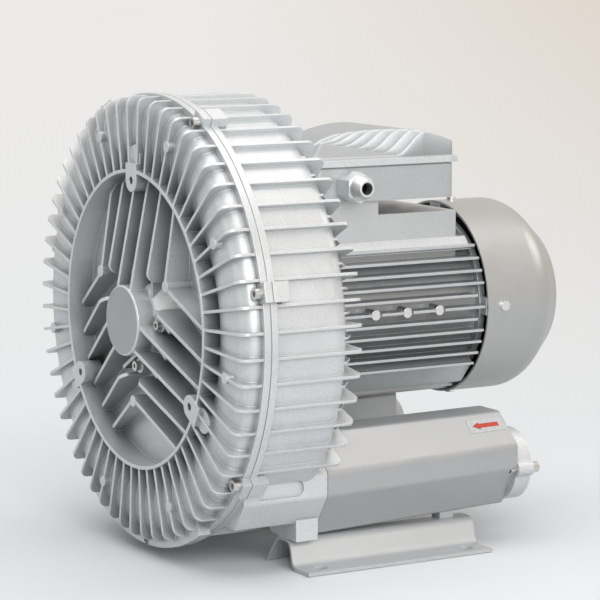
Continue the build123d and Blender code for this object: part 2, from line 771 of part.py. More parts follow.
def motor_housing():
    """Finned motor casing with its front flange and the terminal box pedestal."""
    outer = STATOR_R + MOTOR_WALL
    flange_end = MOTOR_START + MOTOR_FLANGE_T
    body = turned(
        profile(
            (0, MOTOR_START),
            (MOTOR_FLANGE_R, MOTOR_START),
            (MOTOR_FLANGE_R, flange_end),
            (outer, flange_end),
            (outer, MOTOR_END),
            (0, MOTOR_END),
        )
    )
    low = AXIS_HEIGHT + 40
    added = motor_fin_plates()
    added.append(block(-PEDESTAL_HALF, PEDESTAL_HALF, BOX_START, PEDESTAL_STEP, low, BOX_BOTTOM))
    added.append(block(-PEDESTAL_HALF, PEDESTAL_HALF, PEDESTAL_STEP, MOTOR_END - 14, low, AXIS_HEIGHT + 86))
    added.append(pedestal_ledge())
    for side in (-1, 1):
        corner = Pos(side * 51, MOTOR_START + 4, AXIS_HEIGHT - 58) * (Rot(0, side * 42, 0) * lower_band())
        added.append(corner)
        for y in SIDE_SCREW_Y:
            rod = x_rod(y, AXIS_HEIGHT, 4.4, 66, SIDE_BOSS_X)
            added.append(rod if side > 0 else mirrored(rod))
    body = body + added
    cut = [
        disc(STATOR_R + FIT, flange_end, MOTOR_END + 1),
        disc(MOTOR_FLANGE_R - 20, MOTOR_START - 1, flange_end + 1),
        block(-20, 20, BOX_START + 20, BOX_START + 50, AXIS_HEIGHT + 50, BOX_BOTTOM + 1),
    ]
    for angle in (45, 135, 225, 315):
        cut.append(y_rod(*polar(MOTOR_SCREW_R, angle), 4.4, MOTOR_START - 1, flange_end + 1))
        cut.append(y_rod(*polar(MOTOR_SCREW_R, angle), 7.2, flange_end, flange_end + 16))
    for side in (-1, 1):
        for y in SIDE_SCREW_Y:
            hole = x_rod(y, AXIS_HEIGHT, 2.55, SIDE_BOSS_X - 12, SIDE_BOSS_X + 1)
            head_room = x_rod(y, AXIS_HEIGHT, 5.2, SIDE_BOSS_X, SIDE_BOSS_X + 8)
            cut += [hole, head_room] if side > 0 else [mirrored(hole), mirrored(head_room)]
        for y in BASE_SCREW_Y:
            cut.append(z_rod(side * BASE_SCREW_X, y, 2.55, BOX_BOTTOM - 14, BOX_BOTTOM + 1))
    for angle in (45, 135, 225, 315):
        cut.append(y_rod(*polar(SHIELD_SCREW_R, angle), 2.55, MOTOR_END - 14, MOTOR_END + 1))
    return body - cut


SIDE_BOSS_X = 80.5
BASE_SCREW_X = 44.0
BASE_SCREW_Y = (BOX_START + 10, PEDESTAL_STEP - 10)
SHIELD_SCREW_R = 70.0


def lower_band():
    """Smooth corner band between the side fins and the fins below."""
    return Box(16, MOTOR_END - MOTOR_START - 4, 26, align=(Align.CENTER, Align.MIN, Align.CENTER))


def pedestal_ledge():
    """Sloping ledge under the pedestal, above the top fins."""
    outline = Polyline((-68, 51), (68, 51), (PEDESTAL_HALF, 62), (-PEDESTAL_HALF, 62), close=True)
    ledge = extrude(Plane.XZ * make_face(outline), MOTOR_END - BOX_START + 8, dir=(0, 1, 0))
    return Pos(0, BOX_START - 12, AXIS_HEIGHT) * ledge


def motor_screws():
    """Screws that hold the motor flange to the blower neck."""
    screw = TO_MINUS_Y * plain_screw(4.0, MOTOR_FLANGE_T + 12, 6.5, 8.0)
    return [
        Pos(x, MOTOR_START + MOTOR_FLANGE_T, z) * screw
        for x, z in (polar(MOTOR_SCREW_R, a) for a in (45, 135, 225, 315))
    ]


def stator_core():
    """Laminated stator with open slots."""
    core = ring(STATOR_R, ROTOR_R + AIR_GAP, STACK_START, STACK_END)
    half = SLOT_WIDTH / 2
    slot = block(SLOT_IN_R, SLOT_OUT_R, STACK_START - 1, STACK_END + 1, -half, half)
    return core - [at_angle(slot, i * 360.0 / SLOT_COUNT) for i in range(SLOT_COUNT)]


def stator_windings():
    """Coil sides in the slots with the end turns at both ends."""
    half = SLOT_WIDTH / 2 - 0.3
    inner, outer = SLOT_IN_R + 0.3, SLOT_OUT_R - 0.3
    start, end = STACK_START - 1, STACK_END + 1
    bar = block(inner + 0.6, outer - 0.6, start - 1, end + 1, -half, half)
    turns = [
        turned(profile((inner, a), (outer, a), (outer - 1, b), (inner + 3, b)))
        for a, b in ((start, start - 22), (end, end + 22))
    ]
    return turns[0] + ([turns[1]] + [at_angle(bar, i * 360.0 / SLOT_COUNT) for i in range(SLOT_COUNT)])


def rotor_core():
    """Laminated rotor core on the shaft."""
    return ring(ROTOR_R, ROTOR_SEAT_R + FIT, STACK_START, STACK_END)


def rotor_end_rings():
    """Cast end rings of the rotor cage, one at each end."""
    return [
        ring(ROTOR_R - 1, 26, STACK_START - 9, STACK_START),
        ring(ROTOR_R - 1, 26, STACK_END, STACK_END + 9),
    ]


def rear_shield():
    """Rear bearing shield with the tabs that carry the cowl."""
    seat = REAR_BEARING_END + 0.8
    body = turned(
        profile(
            (30, MOTOR_END - 6),
            (STATOR_R - 0.1, MOTOR_END - 6),
            (STATOR_R - 0.1, MOTOR_END),
            (SHIELD_R, MOTOR_END),
            (SHIELD_R, MOTOR_END + 6),
            (36, MOTOR_END + 12),
            (33, seat + 3),
            (FAN_SEAT_R + 1.0, seat + 3),
            (FAN_SEAT_R + 1.0, seat),
            (BEARING_R + FIT, seat),
            (BEARING_R + FIT, MOTOR_END - 1),
            (30, MOTOR_END - 1),
        )
    )
    reach = sqrt((COWL_R - COWL_T) ** 2 - 8**2) - FIT
    tab = block(SHIELD_R - 4, reach, MOTOR_END + 1, COWL_SCREW_Y + 7, -8, 8)
    body = body + [at_angle(tab, angle) for angle in (0, 90, 180, 270)]
    hole = Pos(0, COWL_SCREW_Y, 0) * (Rot(0, 90, 0) * Cylinder(2.05, 200))
    cut = [y_rod(*polar(SHIELD_SCREW_R, a), 2.8, MOTOR_END - 1, MOTOR_END + 10) for a in (45, 135, 225, 315)]
    cut += [on_axis(hole), on_axis(Rot(0, 90, 0) * hole)]
    cut += [y_rod(*polar(SHIELD_SCREW_R, a), 4.8, MOTOR_END + 6, MOTOR_END + 16) for a in (45, 135, 225, 315)]
    return body - cut


def rear_shield_screws():
    """Screws of the rear bearing shield."""
    screw = TO_MINUS_Y * plain_screw(2.5, 16.0, 4.25, 4.0)
    return [
        Pos(x, MOTOR_END + 6.0, z) * screw
        for x, z in (polar(SHIELD_SCREW_R, a) for a in (45, 135, 225, 315))
    ]


def preload_washer():
    """Preload washer behind the rear bearing."""
    return ring(BEARING_R - 1, OUTER_RACE_R - 1, REAR_BEARING_END, REAR_BEARING_END + 0.8)


def cooling_fan():
    """Radial cooling fan on the rear end of the shaft."""
    start = FAN_START
    back = turned(
        profile(
            (FAN_SEAT_R + FIT, start),
            (78, start),
            (78, start + 2.5),
            (20, start + 2.5),
            (17, start + FAN_LENGTH),
            (FAN_SEAT_R + FIT, start + FAN_LENGTH),
        )
    )
    blade = plate(
        profile(
            (16, start + 2), (78, start + 2), (78, start + FAN_LENGTH - 6),
            (60, start + FAN_LENGTH - 1), (17, start + FAN_LENGTH - 1),
        ),
        2.4,
    )
    return back + [at_angle(blade, i * 45.0 + 10) for i in range(8)]


def fan_circlip():
    """Circlip that keeps the fan on the shaft."""
    start = FAN_START + FAN_LENGTH
    clip = ring(13, FAN_SEAT_R + FIT, start, start + 1.5)
    return clip - on_axis(block(-3, 3, start - 1, start + 3, 0, 20))


def fan_cowl():
    """Deep-drawn cowl with a ring grille in its rear face."""
    start = COWL_START
    end = COWL_START + COWL_LENGTH

    def skin(inset):
        """Turned outline of the cowl, drawn in by a wall thickness."""
        r = COWL_R - inset
        slope = (r - 24, end - 6 - inset)
        bends = [(r - 8, end - 24 - inset), slope, (r - 34, end - inset)]
        if not inset:
            bends = [((r - 2.4, end - 33), (r - 8, end - 24)), slope, ((r - 28, end - 2), (r - 34, end))]
        return turned(
            profile(
                (0, start - inset),
                (r, start - inset),
                (r, end - 43),
                *bends,
                (0, end - inset),
            )
        )

    cowl = skin(0) - skin(COWL_T)
    slots = []
    for inner in (14, 26, 38):
        slots.append(ring(inner + 7, inner, end - 5, end + 2))
    spokes = [at_angle(block(8, 60, end - 6, end + 3, -2.5, 2.5), a) for a in range(0, 360, 60)]
    holes = Compound(children=[piece for slot in slots for piece in (slot - spokes).solids()])
    cross = Pos(0, COWL_SCREW_Y, 0) * (Rot(0, 90, 0) * Cylinder(2.3, 220))
    return cowl - (list(holes.solids()) + [on_axis(cross), on_axis(Rot(0, 90, 0) * cross)])


def cowl_screws():
    """Screws that hold the cowl to the shield tabs."""
    screw = Rot(0, -90, 0) * plain_screw(2.0, 10.0, 4.5, 2.6)
    placed = Pos(COWL_R, COWL_SCREW_Y, 0) * screw
    return [at_angle(placed, angle) for angle in (0, 90, 180, 270)]


def side_screws():
    """Blanking screws in the three bosses on each side of the motor."""
    screw = Rot(0, -90, 0) * plain_screw(2.5, 11.0, 4.6, 4.5)
    right = [Pos(SIDE_BOSS_X, y, AXIS_HEIGHT) * screw for y in SIDE_SCREW_Y]
    return right + [mirrored(piece) for piece in right]


# ---- terminal box -------------------------------------------------------------------
def box_base():
    """Open terminal box with corner posts and a threaded entry on each side."""
    w = BOX_HALF_WIDTH
    top = BOX_BOTTOM + BOX_HEIGHT
    outer = block(-w, w, BOX_START, BOX_END, BOX_BOTTOM, top)
    outer = fillet(outer.edges().filter_by(Axis.Z), 6)
    t = BOX_WALL
    inner = block(-w + t, w - t, BOX_START + t, BOX_END - t, BOX_BOTTOM + 4, top + 1)
    base = outer - inner
    posts = [z_rod(sx * LID_SCREW_X, y, 6.0, BOX_BOTTOM, top) for sx in (-1, 1) for y in LID_SCREW_Y]
    base = base + posts
    cut = [x_rod(GLAND_Y, GLAND_Z, 10.1, -w - 1, w + 1)]
    cut.append(block(-18, 18, BOX_START + 22, BOX_START + 48, BOX_BOTTOM - 1, BOX_BOTTOM + 5))
    for sx in (-1, 1):
        cut += [z_rod(sx * LID_SCREW_X, y, 2.05, top - 20, top + 1) for y in LID_SCREW_Y]
        cut += [z_rod(sx * BASE_SCREW_X, y, 2.8, BOX_BOTTOM - 1, BOX_BOTTOM + 5) for y in BASE_SCREW_Y]
    return base - cut


LID_SCREW_X = 28.0
LID_SCREW_Y = (BOX_START + 8.0, BOX_END - 8.0)
LID_BOTTOM = BOX_BOTTOM + BOX_HEIGHT + BOX_GASKET
LID_RIM = 6.0
LID_FLUTES = 7


def box_gasket():
    """Seal between the box and its lid."""
    w, t = BOX_HALF_WIDTH - 0.5, 5.0
    z = BOX_BOTTOM + BOX_HEIGHT
    flat = block(-w, w, BOX_START + 0.5, BOX_END - 0.5, z, z + BOX_GASKET)
    flat = fillet(flat.edges().filter_by(Axis.Z), 6)
    flat = flat - block(-w + t, w - t, BOX_START + t, BOX_END - t, z - 1, z + 3)
    flat = flat + [z_rod(sx * LID_SCREW_X, y, 6.0, z, z + BOX_GASKET) for sx in (-1, 1) for y in LID_SCREW_Y]
    return flat - [z_rod(sx * LID_SCREW_X, y, 2.3, z - 1, z + 3) for sx in (-1, 1) for y in LID_SCREW_Y]


def lid_crown():
    """Raised form of the lid: a wave along Y, with S-shaped slopes to both sides."""
    z = LID_BOTTOM
    start, end = BOX_START + 1, BOX_END - 0.5
    rise = Spline(
        (start + 3, z + 10), (start + 40, z + 12), (start + 58, z + 22), (start + 78, z + 30),
        (start + 100, z + 30.5), (start + 122, z + 26), (end, z + 18),
    )
    side = make_face([rise, Line((end, z + 18), (end, z + 2)), Line((end, z + 2), (start, z + 2)),
                      Line((start, z + 2), (start + 3, z + 10))])
    wave = Pos(-70, 0, 0) * extrude(Plane.YZ * side, 140, dir=(1, 0, 0))
    points = ((62, z + 8), (54, z + 11), (45, z + 19), (35, z + 28), (24, z + 32))
    slope = Spline(*points, tangents=((-1, 0.1), (-1, 0)))
    other = mirror(slope, about=Plane.YZ)
    front = make_face([slope, other, Line((24, z + 32), (-24, z + 32)), Line((-62, z + 8), (-62, z + 2)),
                       Line((-62, z + 2), (62, z + 2)), Line((62, z + 2), (62, z + 8))])
    ridge = Pos(0, start, 0) * extrude(Plane.XZ * front, end - start, dir=(0, 1, 0))
    points = ((end - 62, z + 7), (end - 52, z + 13), (end - 44, z + 24), (end - 34, z + 31))
    climb = Spline(*points, tangents=((1, 0.1), (1, 0)))
    outline = make_face([climb, Line((end - 34, z + 31), (end, z + 31)), Line((end, z + 31), (end, z + 2)),
                         Line((end, z + 2), (end - 62, z + 2)), Line((end - 62, z + 2), (end - 62, z + 7))])
    wall = Pos(26, 0, 0) * extrude(Plane.YZ * outline, 36, dir=(1, 0, 0))
    return wave & (ridge + [wall, mirrored(wall)])


def lid_flute(y):
    """Cutter of one S-shaped groove that runs forward as it falls to the right."""
    z = LID_BOTTOM
    path = Spline((22, y + 4, z + 35.5), (34, y - 5, z + 32.0), (47, y - 20, z + 22.5), (58, y - 33, z + 14.5))
    return sweep(Plane(origin=path @ 0, z_dir=path % 0) * Circle(5.0), path)


def box_lid():
    """Lid with a rim, a waved crown and oblique grooves on both slopes."""
    w = BOX_HALF_WIDTH + 1.5
    z = LID_BOTTOM
    rim = block(-w, w, BOX_START - 1.5, BOX_END + 1.5, z, z + LID_RIM)
    rim = fillet(rim.edges().filter_by(Axis.Z), 7)
    tab = block(w - 11, w - 3, BOX_END, BOX_END + 4.5, z, z + LID_RIM)
    hollow = block(-54, 54, BOX_START + 8, BOX_END - 8, z - 1, z + 7)
    flutes = [lid_flute(BOX_END - 12.5 * i) for i in range(LID_FLUTES)]
    lid = (rim + [lid_crown(), tab]) - ([hollow] + flutes + [mirrored(flute) for flute in flutes])
    posts = [z_rod(sx * LID_SCREW_X, y, 6.0, z, z + LID_RIM) for sx in (-1, 1) for y in LID_SCREW_Y]
    wells = [z_rod(sx * LID_SCREW_X, y, 5.2, z + LID_RIM, z + 40) for sx in (-1, 1) for y in LID_SCREW_Y]
    lid = (lid + posts) - wells
    top = z + LID_RIM + 1
    return lid - [z_rod(sx * LID_SCREW_X, y, 2.3, z - 1, top) for sx in (-1, 1) for y in LID_SCREW_Y]


def lid_screws():
    """Four corner screws of the lid."""
    screw = Rot(180, 0, 0) * plain_screw(2.0, 18.0, 4.2, 3.0)
    z = LID_BOTTOM + LID_RIM
    return [Pos(sx * LID_SCREW_X, y, z) * screw for sx in (-1, 1) for y in LID_SCREW_Y]


def base_screws():
    """Screws that hold the box to the motor pedestal."""
    screw = Rot(180, 0, 0) * plain_screw(2.5, 15.0, 4.4, 3.5)
    z = BOX_BOTTOM + 4
    return [Pos(sx * BASE_SCREW_X, y, z) * screw for sx in (-1, 1) for y in BASE_SCREW_Y]


def terminal_board():
    """Moulded terminal board on the box floor."""
    z = BOX_BOTTOM + 4
    board = block(-32, 32, BOARD_Y - 18, BOARD_Y + 18, z, z + 9)
    holes = [z_rod(x, y, 2.55, z - 1, z + 10) for x in (-20, 0, 20) for y in (BOARD_Y - 9, BOARD_Y + 9)]
    return board - holes


def terminal_studs():
    """Six terminal studs, each with its nut."""
    z = BOX_BOTTOM + 4
    studs = []
    for x in (-20, 0, 20):
        for y in (BOARD_Y - 9, BOARD_Y + 9):
            rod = z_rod(x, y, 2.5, z + 1, z + 21)
            nut = Pos(x, y, z + 10.5) * hex_bar(8.0, 4.0)
            studs.append(rod + nut)
    return studs


def terminal_links():
    """Brass links under the nuts, one for each pair of studs."""
    z = BOX_BOTTOM + 13
    links = []
    for x in (-20, 0, 20):
        bar = block(x - 4, x + 4, BOARD_Y - 14, BOARD_Y + 14, z, z + 1.5)
        links.append(bar - [z_rod(x, BOARD_Y + dy, 2.8, z - 1, z + 3) for dy in (-9, 9)])
    return links


def gland_body():
    """Cable gland body: thread through the box wall, hexagon and front thread."""
    w = BOX_HALF_WIDTH
    hexagon = Pos(w, GLAND_Y, GLAND_Z) * (Rot(0, 90, 0) * hex_bar(GLAND_HEX, 8.0))
    body = x_rod(GLAND_Y, GLAND_Z, 10.0, w - 9, w) + hexagon
    body = body + x_rod(GLAND_Y, GLAND_Z, 9.0, w + 8, w + 17)
    return body - [
        x_rod(GLAND_Y, GLAND_Z, CABLE_HOLE_R + 0.5, w - 10, w + 18),
        x_rod(GLAND_Y, GLAND_Z, 8.0, w + 9, w + 18),
    ]


def gland_seal():
    """Rubber sleeve that grips the cable."""
    w = BOX_HALF_WIDTH
    sleeve = x_rod(GLAND_Y, GLAND_Z, 7.9, w + 9, w + 22)
    return sleeve - x_rod(GLAND_Y, GLAND_Z, CABLE_HOLE_R, w + 8, w + 23)


def gland_cap():
    """Domed gland nut."""
    w = BOX_HALF_WIDTH
    hexagon = Pos(w + 8.5, GLAND_Y, GLAND_Z) * (Rot(0, 90, 0) * hex_bar(GLAND_HEX, 12.0))
    dome_face = profile((0, 0), (11.4, 0), ((9.9, 6.5), (7.2, 11.0)), (0, 11.0))
    dome = Pos(w + 20.5, GLAND_Y, GLAND_Z) * (Rot(0, 0, -90) * revolve(dome_face, Axis.Y, 360))
    return (hexagon + dome) - [
        x_rod(GLAND_Y, GLAND_Z, 9.05, w + 8, w + 22.5),
        x_rod(GLAND_Y, GLAND_Z, CABLE_HOLE_R, w + 8, w + 33),
    ]


def blanking_plug():
    """Hexagon plug in the spare cable entry."""
    w = BOX_HALF_WIDTH
    hexagon = Pos(w, GLAND_Y, GLAND_Z) * (Rot(0, 90, 0) * hex_bar(GLAND_HEX, 6.0))
    return mirrored(hexagon + x_rod(GLAND_Y, GLAND_Z, 10.0, w - 9, w))


# ---- silencers ----------------------------------------------------------------------
def silencer():
    """Right silencer casing: tapered tube open to the housing, with a closed rear end."""
    start, end = SILENCER_START, SILENCER_END
    pad = block(97, 110, RAIL_SCREW_Y[1] - 7, RAIL_SCREW_Y[1] + 7, RAIL_TOP, AXIS_HEIGHT - 174)
    case = duct(0, start, end) + ([pad] + silencer_ears(start, start + 12))
    bores = [
        duct(SILENCER_WALL, start - 1, end - 9),
        y_rod(SILENCER_X, SILENCER_Z, PORT_R + 1.0, end - 10, end + 1),
        z_rod(RAIL_SCREW_X, RAIL_SCREW_Y[1], 3.05, 0, RAIL_TOP + 8),
    ]
    bores += [y_rod(SILENCER_EAR_X, z, 3.3, start - 1, start + 13) for z in SILENCER_EAR_Z]
    bores += [y_rod(SILENCER_X + dx, SILENCER_Z, 3.05, end - 7, end + 1) for dx in (-PORT_EAR, PORT_EAR)]
    return case - bores


def silencer_gasket():
    """Seal between the housing duct and the right silencer."""
    start = SILENCER_START - GASKET
    return duct(0, start, SILENCER_START) - duct(SILENCER_WALL + 0.5, start - 1, SILENCER_START)


def silencer_foam():
    """Foam lining of the right silencer, with the air passage through it."""
    start, end = SILENCER_START + 6, SILENCER_END - 10
    foam = duct(SILENCER_WALL + RUN, start, end)
    return foam - y_rod(SILENCER_X, SILENCER_Z, PORT_R + 1.0, start - 1, end + 1)


def silencer_screws():
    """Screws through the silencer ears into the housing, on both sides."""
    screw = TO_MINUS_Y * plain_screw(3.0, 24.0, 5.0, 5.0)
    right = [Pos(SILENCER_EAR_X, SILENCER_START + 12, z) * screw for z in SILENCER_EAR_Z]
    return right + [mirrored(piece) for piece in right]


def port_flange():
    """Round threaded port of the right silencer, with two screw bosses."""
    start = SILENCER_END
    end = start + PORT_LENGTH
    body = y_rod(SILENCER_X, SILENCER_Z, PORT_FLANGE_R, start, end)
    ears = [y_rod(SILENCER_X + dx, SILENCER_Z, 7.0, start, end) for dx in (-PORT_EAR, PORT_EAR)]
    holes = [y_rod(SILENCER_X + dx, SILENCER_Z, 3.3, start - 1, end + 1) for dx in (-PORT_EAR, PORT_EAR)]
    return (body + ears) - ([y_rod(SILENCER_X, SILENCER_Z, PORT_R, start - 1, end + 1)] + holes)


def port_screws():
    """Round head screws of both port flanges."""
    screw = TO_MINUS_Y * plain_screw(3.0, PORT_LENGTH + 6, 4.9, 7.0)
    y = SILENCER_END + PORT_LENGTH
    right = [Pos(SILENCER_X + dx, y, SILENCER_Z) * screw for dx in (-PORT_EAR, PORT_EAR)]
    return right + [mirrored(piece) for piece in right]


# ---- foot rails ---------------------------------------------------------------------
def foot_rail():
    """Right foot rail: pressed sheet with a raised crown and a flat drilled flange."""
    mid = RAIL_T / 2
    crown = RAIL_TOP - mid
    path = FilletPolyline((76.5, mid), (95, crown), (115, crown), (121, mid), (148.5, mid), radius=8.0)
    section = Plane.XZ * trace(path, RAIL_T)
    rail = Pos(0, RAIL_START, 0) * extrude(section, RAIL_LENGTH, dir=(0, 1, 0))
    rail = rail - block(60, 160, RAIL_START - 1, RAIL_START + RAIL_LENGTH + 1, -5, 0)
    x = FOOT_SPACING_X / 2
    holes = [z_rod(x, y, FOOT_HOLE_R, -1, RAIL_T + 1) for y in (-FOOT_SPACING_Y / 2, FOOT_SPACING_Y / 2)]
    holes += [z_rod(RAIL_SCREW_X, y, 3.3, 10, RAIL_TOP + 1) for y in RAIL_SCREW_Y]
    return rail - holes


def rail_screws():
    """Screws from below through the rail crowns, on both sides."""
    screw = plain_screw(3.0, RAIL_T + 7, 4.7, 4.0)
    right = [Pos(RAIL_SCREW_X, y, RAIL_TOP - RAIL_T) * screw for y in RAIL_SCREW_Y]
    return right + [mirrored(piece) for piece in right]


def main():
    """Build and write every node."""
    save("front_cover", front_cover())
    save("rear_housing", rear_housing())
    save("cover_gasket", cover_gasket())
    save("cover_screws", *cover_screws())
    save("front_bearing_cap", bearing_cap())
    save("bearing_cap_screws", *bearing_cap_screws())
    for end, start in (("front", FRONT_BEARING_START), ("rear", REAR_BEARING_START)):
        save(f"{end}_bearing_outer_race", bearing_outer(start))
        save(f"{end}_bearing_inner_race", bearing_inner(start))
        save(f"{end}_bearing_balls", *bearing_balls(start))
    save("shaft", shaft())
    save("impeller", impeller())
    save("impeller_key", key_space(0))
    save("impeller_spacer", impeller_spacer())
    save("shaft_end_washer", shaft_end_washer())
    save("shaft_end_screw", shaft_end_screw())
    save("shaft_seal", shaft_seal())
    save("motor_housing", motor_housing())
    save("motor_screws", *motor_screws())
    save("stator_core", stator_core())
    save("stator_windings", stator_windings())
    save("rotor_core", rotor_core())
    save("rotor_end_rings", *rotor_end_rings())
    save("rear_bearing_shield", rear_shield())
    save("rear_shield_screws", *rear_shield_screws())
    save("preload_washer", preload_washer())
    save("cooling_fan", cooling_fan())
    save("fan_circlip", fan_circlip())
    save("fan_cowl", fan_cowl())
    save("cowl_screws", *cowl_screws())
    save("motor_side_screws", *side_screws())
    save("terminal_box_base", box_base())
    save("terminal_box_gasket", box_gasket())
    save("terminal_box_lid", box_lid())
    save("lid_screws", *lid_screws())
    save("box_base_screws", *base_screws())
    save("terminal_board", terminal_board())
    save("terminal_studs", *terminal_studs())
    save("terminal_links", *terminal_links())
    save("gland_body", gland_body())
    save("gland_seal", gland_seal())
    save("gland_cap", gland_cap())
    save("blanking_plug", blanking_plug())
    for name, shape in (
        ("silencer", silencer()),
        ("silencer_gasket", silencer_gasket()),
        ("silencer_foam", silencer_foam()),
        ("port_flange", port_flange()),
        ("foot_rail", foot_rail()),
    ):
        save(f"{name}_right", shape)
        save(f"{name}_left", mirrored(shape))
    save("silencer_screws", *silencer_screws())
    save("port_screws", *port_screws())
    save("rail_screws", *rail_screws())


main()
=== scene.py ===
"""Side channel blower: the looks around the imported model, in metres."""

import json
import math

import bmesh
import bpy
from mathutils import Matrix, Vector


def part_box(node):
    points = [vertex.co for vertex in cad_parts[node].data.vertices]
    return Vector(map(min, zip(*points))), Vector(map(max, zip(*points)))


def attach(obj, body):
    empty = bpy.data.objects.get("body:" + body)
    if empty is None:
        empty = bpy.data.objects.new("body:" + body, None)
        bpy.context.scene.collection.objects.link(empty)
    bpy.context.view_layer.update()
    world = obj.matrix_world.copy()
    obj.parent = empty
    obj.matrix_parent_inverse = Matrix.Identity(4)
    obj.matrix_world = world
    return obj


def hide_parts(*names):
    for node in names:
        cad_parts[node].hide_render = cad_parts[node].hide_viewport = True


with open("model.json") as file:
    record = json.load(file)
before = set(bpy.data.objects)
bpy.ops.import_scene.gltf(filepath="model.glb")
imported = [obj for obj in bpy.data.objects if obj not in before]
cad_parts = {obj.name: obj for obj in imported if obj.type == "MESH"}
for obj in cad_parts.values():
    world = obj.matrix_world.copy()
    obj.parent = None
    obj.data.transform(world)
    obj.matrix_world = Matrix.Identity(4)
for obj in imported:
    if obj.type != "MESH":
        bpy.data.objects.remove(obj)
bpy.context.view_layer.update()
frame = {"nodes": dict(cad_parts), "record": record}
nodes = frame["nodes"]

# camera, fitted to the photo
CAMERA_PLACE = (2.0865, -1.2317, 0.5445)
CAMERA_TARGET = (0.0719, -0.0587, 0.2271)
LENS_MM = 161.8
SENSOR_MM = 36.0
CLIP_START, CLIP_END = 0.1, 50.0

# floor, which fades into the backdrop between two distances from the object's middle
FLOOR_Z = -0.0005
FLOOR_HALF = 6.0
FLOOR_DARK, FLOOR_LIGHT = (0.93, 0.945, 0.955), (0.95, 0.965, 0.975)
FLOOR_BOUNCE = (0.28, 0.28, 0.28)  # the tone that lights the object from below
FLOOR_ROUGHNESS, FLOOR_SHINE = 0.6, 0.15
FLOOR_FADE_START = 0.12
FLOOR_FADE_END = 0.8

# backdrop: a low wall colour, and above it a cool and a warm side
WALL_LOW = (0.81, 0.84, 0.85)
WALL_COOL = (0.84, 0.82, 0.80)
WALL_WARM = (0.74, 0.66, 0.59)
WARM_SIDE = (0.50, 0.86, 0.10)  # the side of the room with the warmer wall
WALL_RISE = (-0.20, -0.02)  # from the low colour to the upper ones, by a direction's height
WALL_TURN = (-0.04, 0.13)  # from cool to warm, by a direction's share of WARM_SIDE
WORLD_LIGHT = (0.94, 0.96, 1.0, 1.0)
WORLD_LEVEL = 0.25

# lamps: name, place, size, watts and tint
LAMP_TARGET = (0.0, 0.0, 0.2)
LAMPS = (
    ("top_box", (0.1, -0.2, 2.3), (2.8, 3.0), 34.0, (1.0, 0.995, 0.99)),
    ("right_box", (3.2, -0.6, 1.4), (2.6, 2.0), 68.0, (0.985, 0.995, 1.0)),
    ("front_box", (-0.4, -2.6, 1.0), (1.2, 1.6), 2.5, (1.0, 0.99, 0.97)),
    ("back_box", (0.4, 2.4, 1.6), (1.4, 1.2), 10.0, (1.0, 0.96, 0.91)),
)

# lacquer: share of metal, and the radius that shading rounds edges to
LACQUER_METAL = 0.5
CASTING_EDGE, SHEET_EDGE, METAL_EDGE = 0.0010, 0.0006, 0.0005
CASTING_GRAIN, SHEET_PEEL = 0.00008, 0.00006

# the turned face of the cover's hub, and its darker tone: partly its own finish, partly painted shade
HUB_AXIS_Z = 0.210
HUB_FACE_R = 0.0292
HUB_FACE_Y = -0.1965
HUB_FACE_TONE_AND_SHADE = 0.62
HUB_FACE_BLEND = 0.0005
HUB_FACE_DEPTH = (0.0004, 0.0008)  # behind the face, where its tone ends

# terminal box lid: heights are over its lower face, places along Y
BOX_REAR = 0.1075
LID_BAND = 0.0015
LID_HALF = 0.0626
LID_SIDE = 0.0620
LID_CORNER = 0.0055
LID_GRID_X, LID_GRID_Y = 156, 132
LID_CREST = (
    (-0.038, 0.0085),
    (-0.020, 0.0170),
    (-0.009, 0.0222),
    (0.006, 0.0265),
    (0.028, 0.0295),
    (0.049, 0.0305),
    (0.070, 0.0295),
    (0.085, 0.0265),
    (0.100, 0.0220),
    (0.1075, 0.0190),
)
LID_APRON, LID_APRON_SLOPE = 0.0080, 0.42
LID_CLIMB_Y, LID_CLIMB = 0.045, 0.034
LID_FAN = 2.2  # how far the climb starts further forward, per metre in from the side
LID_FLUTES, LID_FLUTE_PITCH, LID_FLUTE_DEPTH = 7, 0.005, 0.0040
LID_EDGE = 0.0009
LID_STEP = 0.0070
LID_HEADROOM = 0.0002  # kept below the top of the CAD lid
LID_SKIRT = ((0.0002, 0.0066), (0.0008, 0.0064), (0.0019, 0.0058), (0.0019, 0.0))
LID_CLIP_X, LID_CLIP_HEIGHT, LID_CLIP_LAP = (0.0535, 0.0615), 0.006, 0.001
LID_CLIP_EDGE = 0.0007
LID_SCREW_X, LID_SCREWS_Y, LID_SEAT = 0.028, (-0.0295, 0.0995), 0.006
LID_WELL_R, LID_WELL_RISE, LID_WELL_SIDES = 0.0052, 0.01, 48
LID_SHARP_DEGREES = 28

# the upper slanting face of the right silencer: x and z of its two edges at two stations
SLANT_FRONT = {"y": -0.070, "top": (0.108, 0.116), "low": (0.1395, 0.086)}
SLANT_REAR = {"y": 0.1275, "top": (0.108, 0.118), "low": (0.1385, 0.092)}
SLANT_WIDTH = 0.0405

# the sticker on that face: places along Y, distances down the slope, heights over the face
STICKER_START, STICKER_END = 0.0875, 0.1255
STICKER_TOP, STICKER_LOW = 0.0072, 0.0218
STICKER_CORNER, STICKER_CORNER_POINTS = 0.001, 5
STICKER_FILM = (0.00004, 0.00030)
STICKER_INK = (0.00020, 0.00052)
ARROW_TIP = 0.0915
ARROW_LENGTH = 0.0275
ARROW_HEAD = 0.0075
ARROW_HEAD_HALF = 0.0042
ARROW_SHAFT_HALF = 0.0023


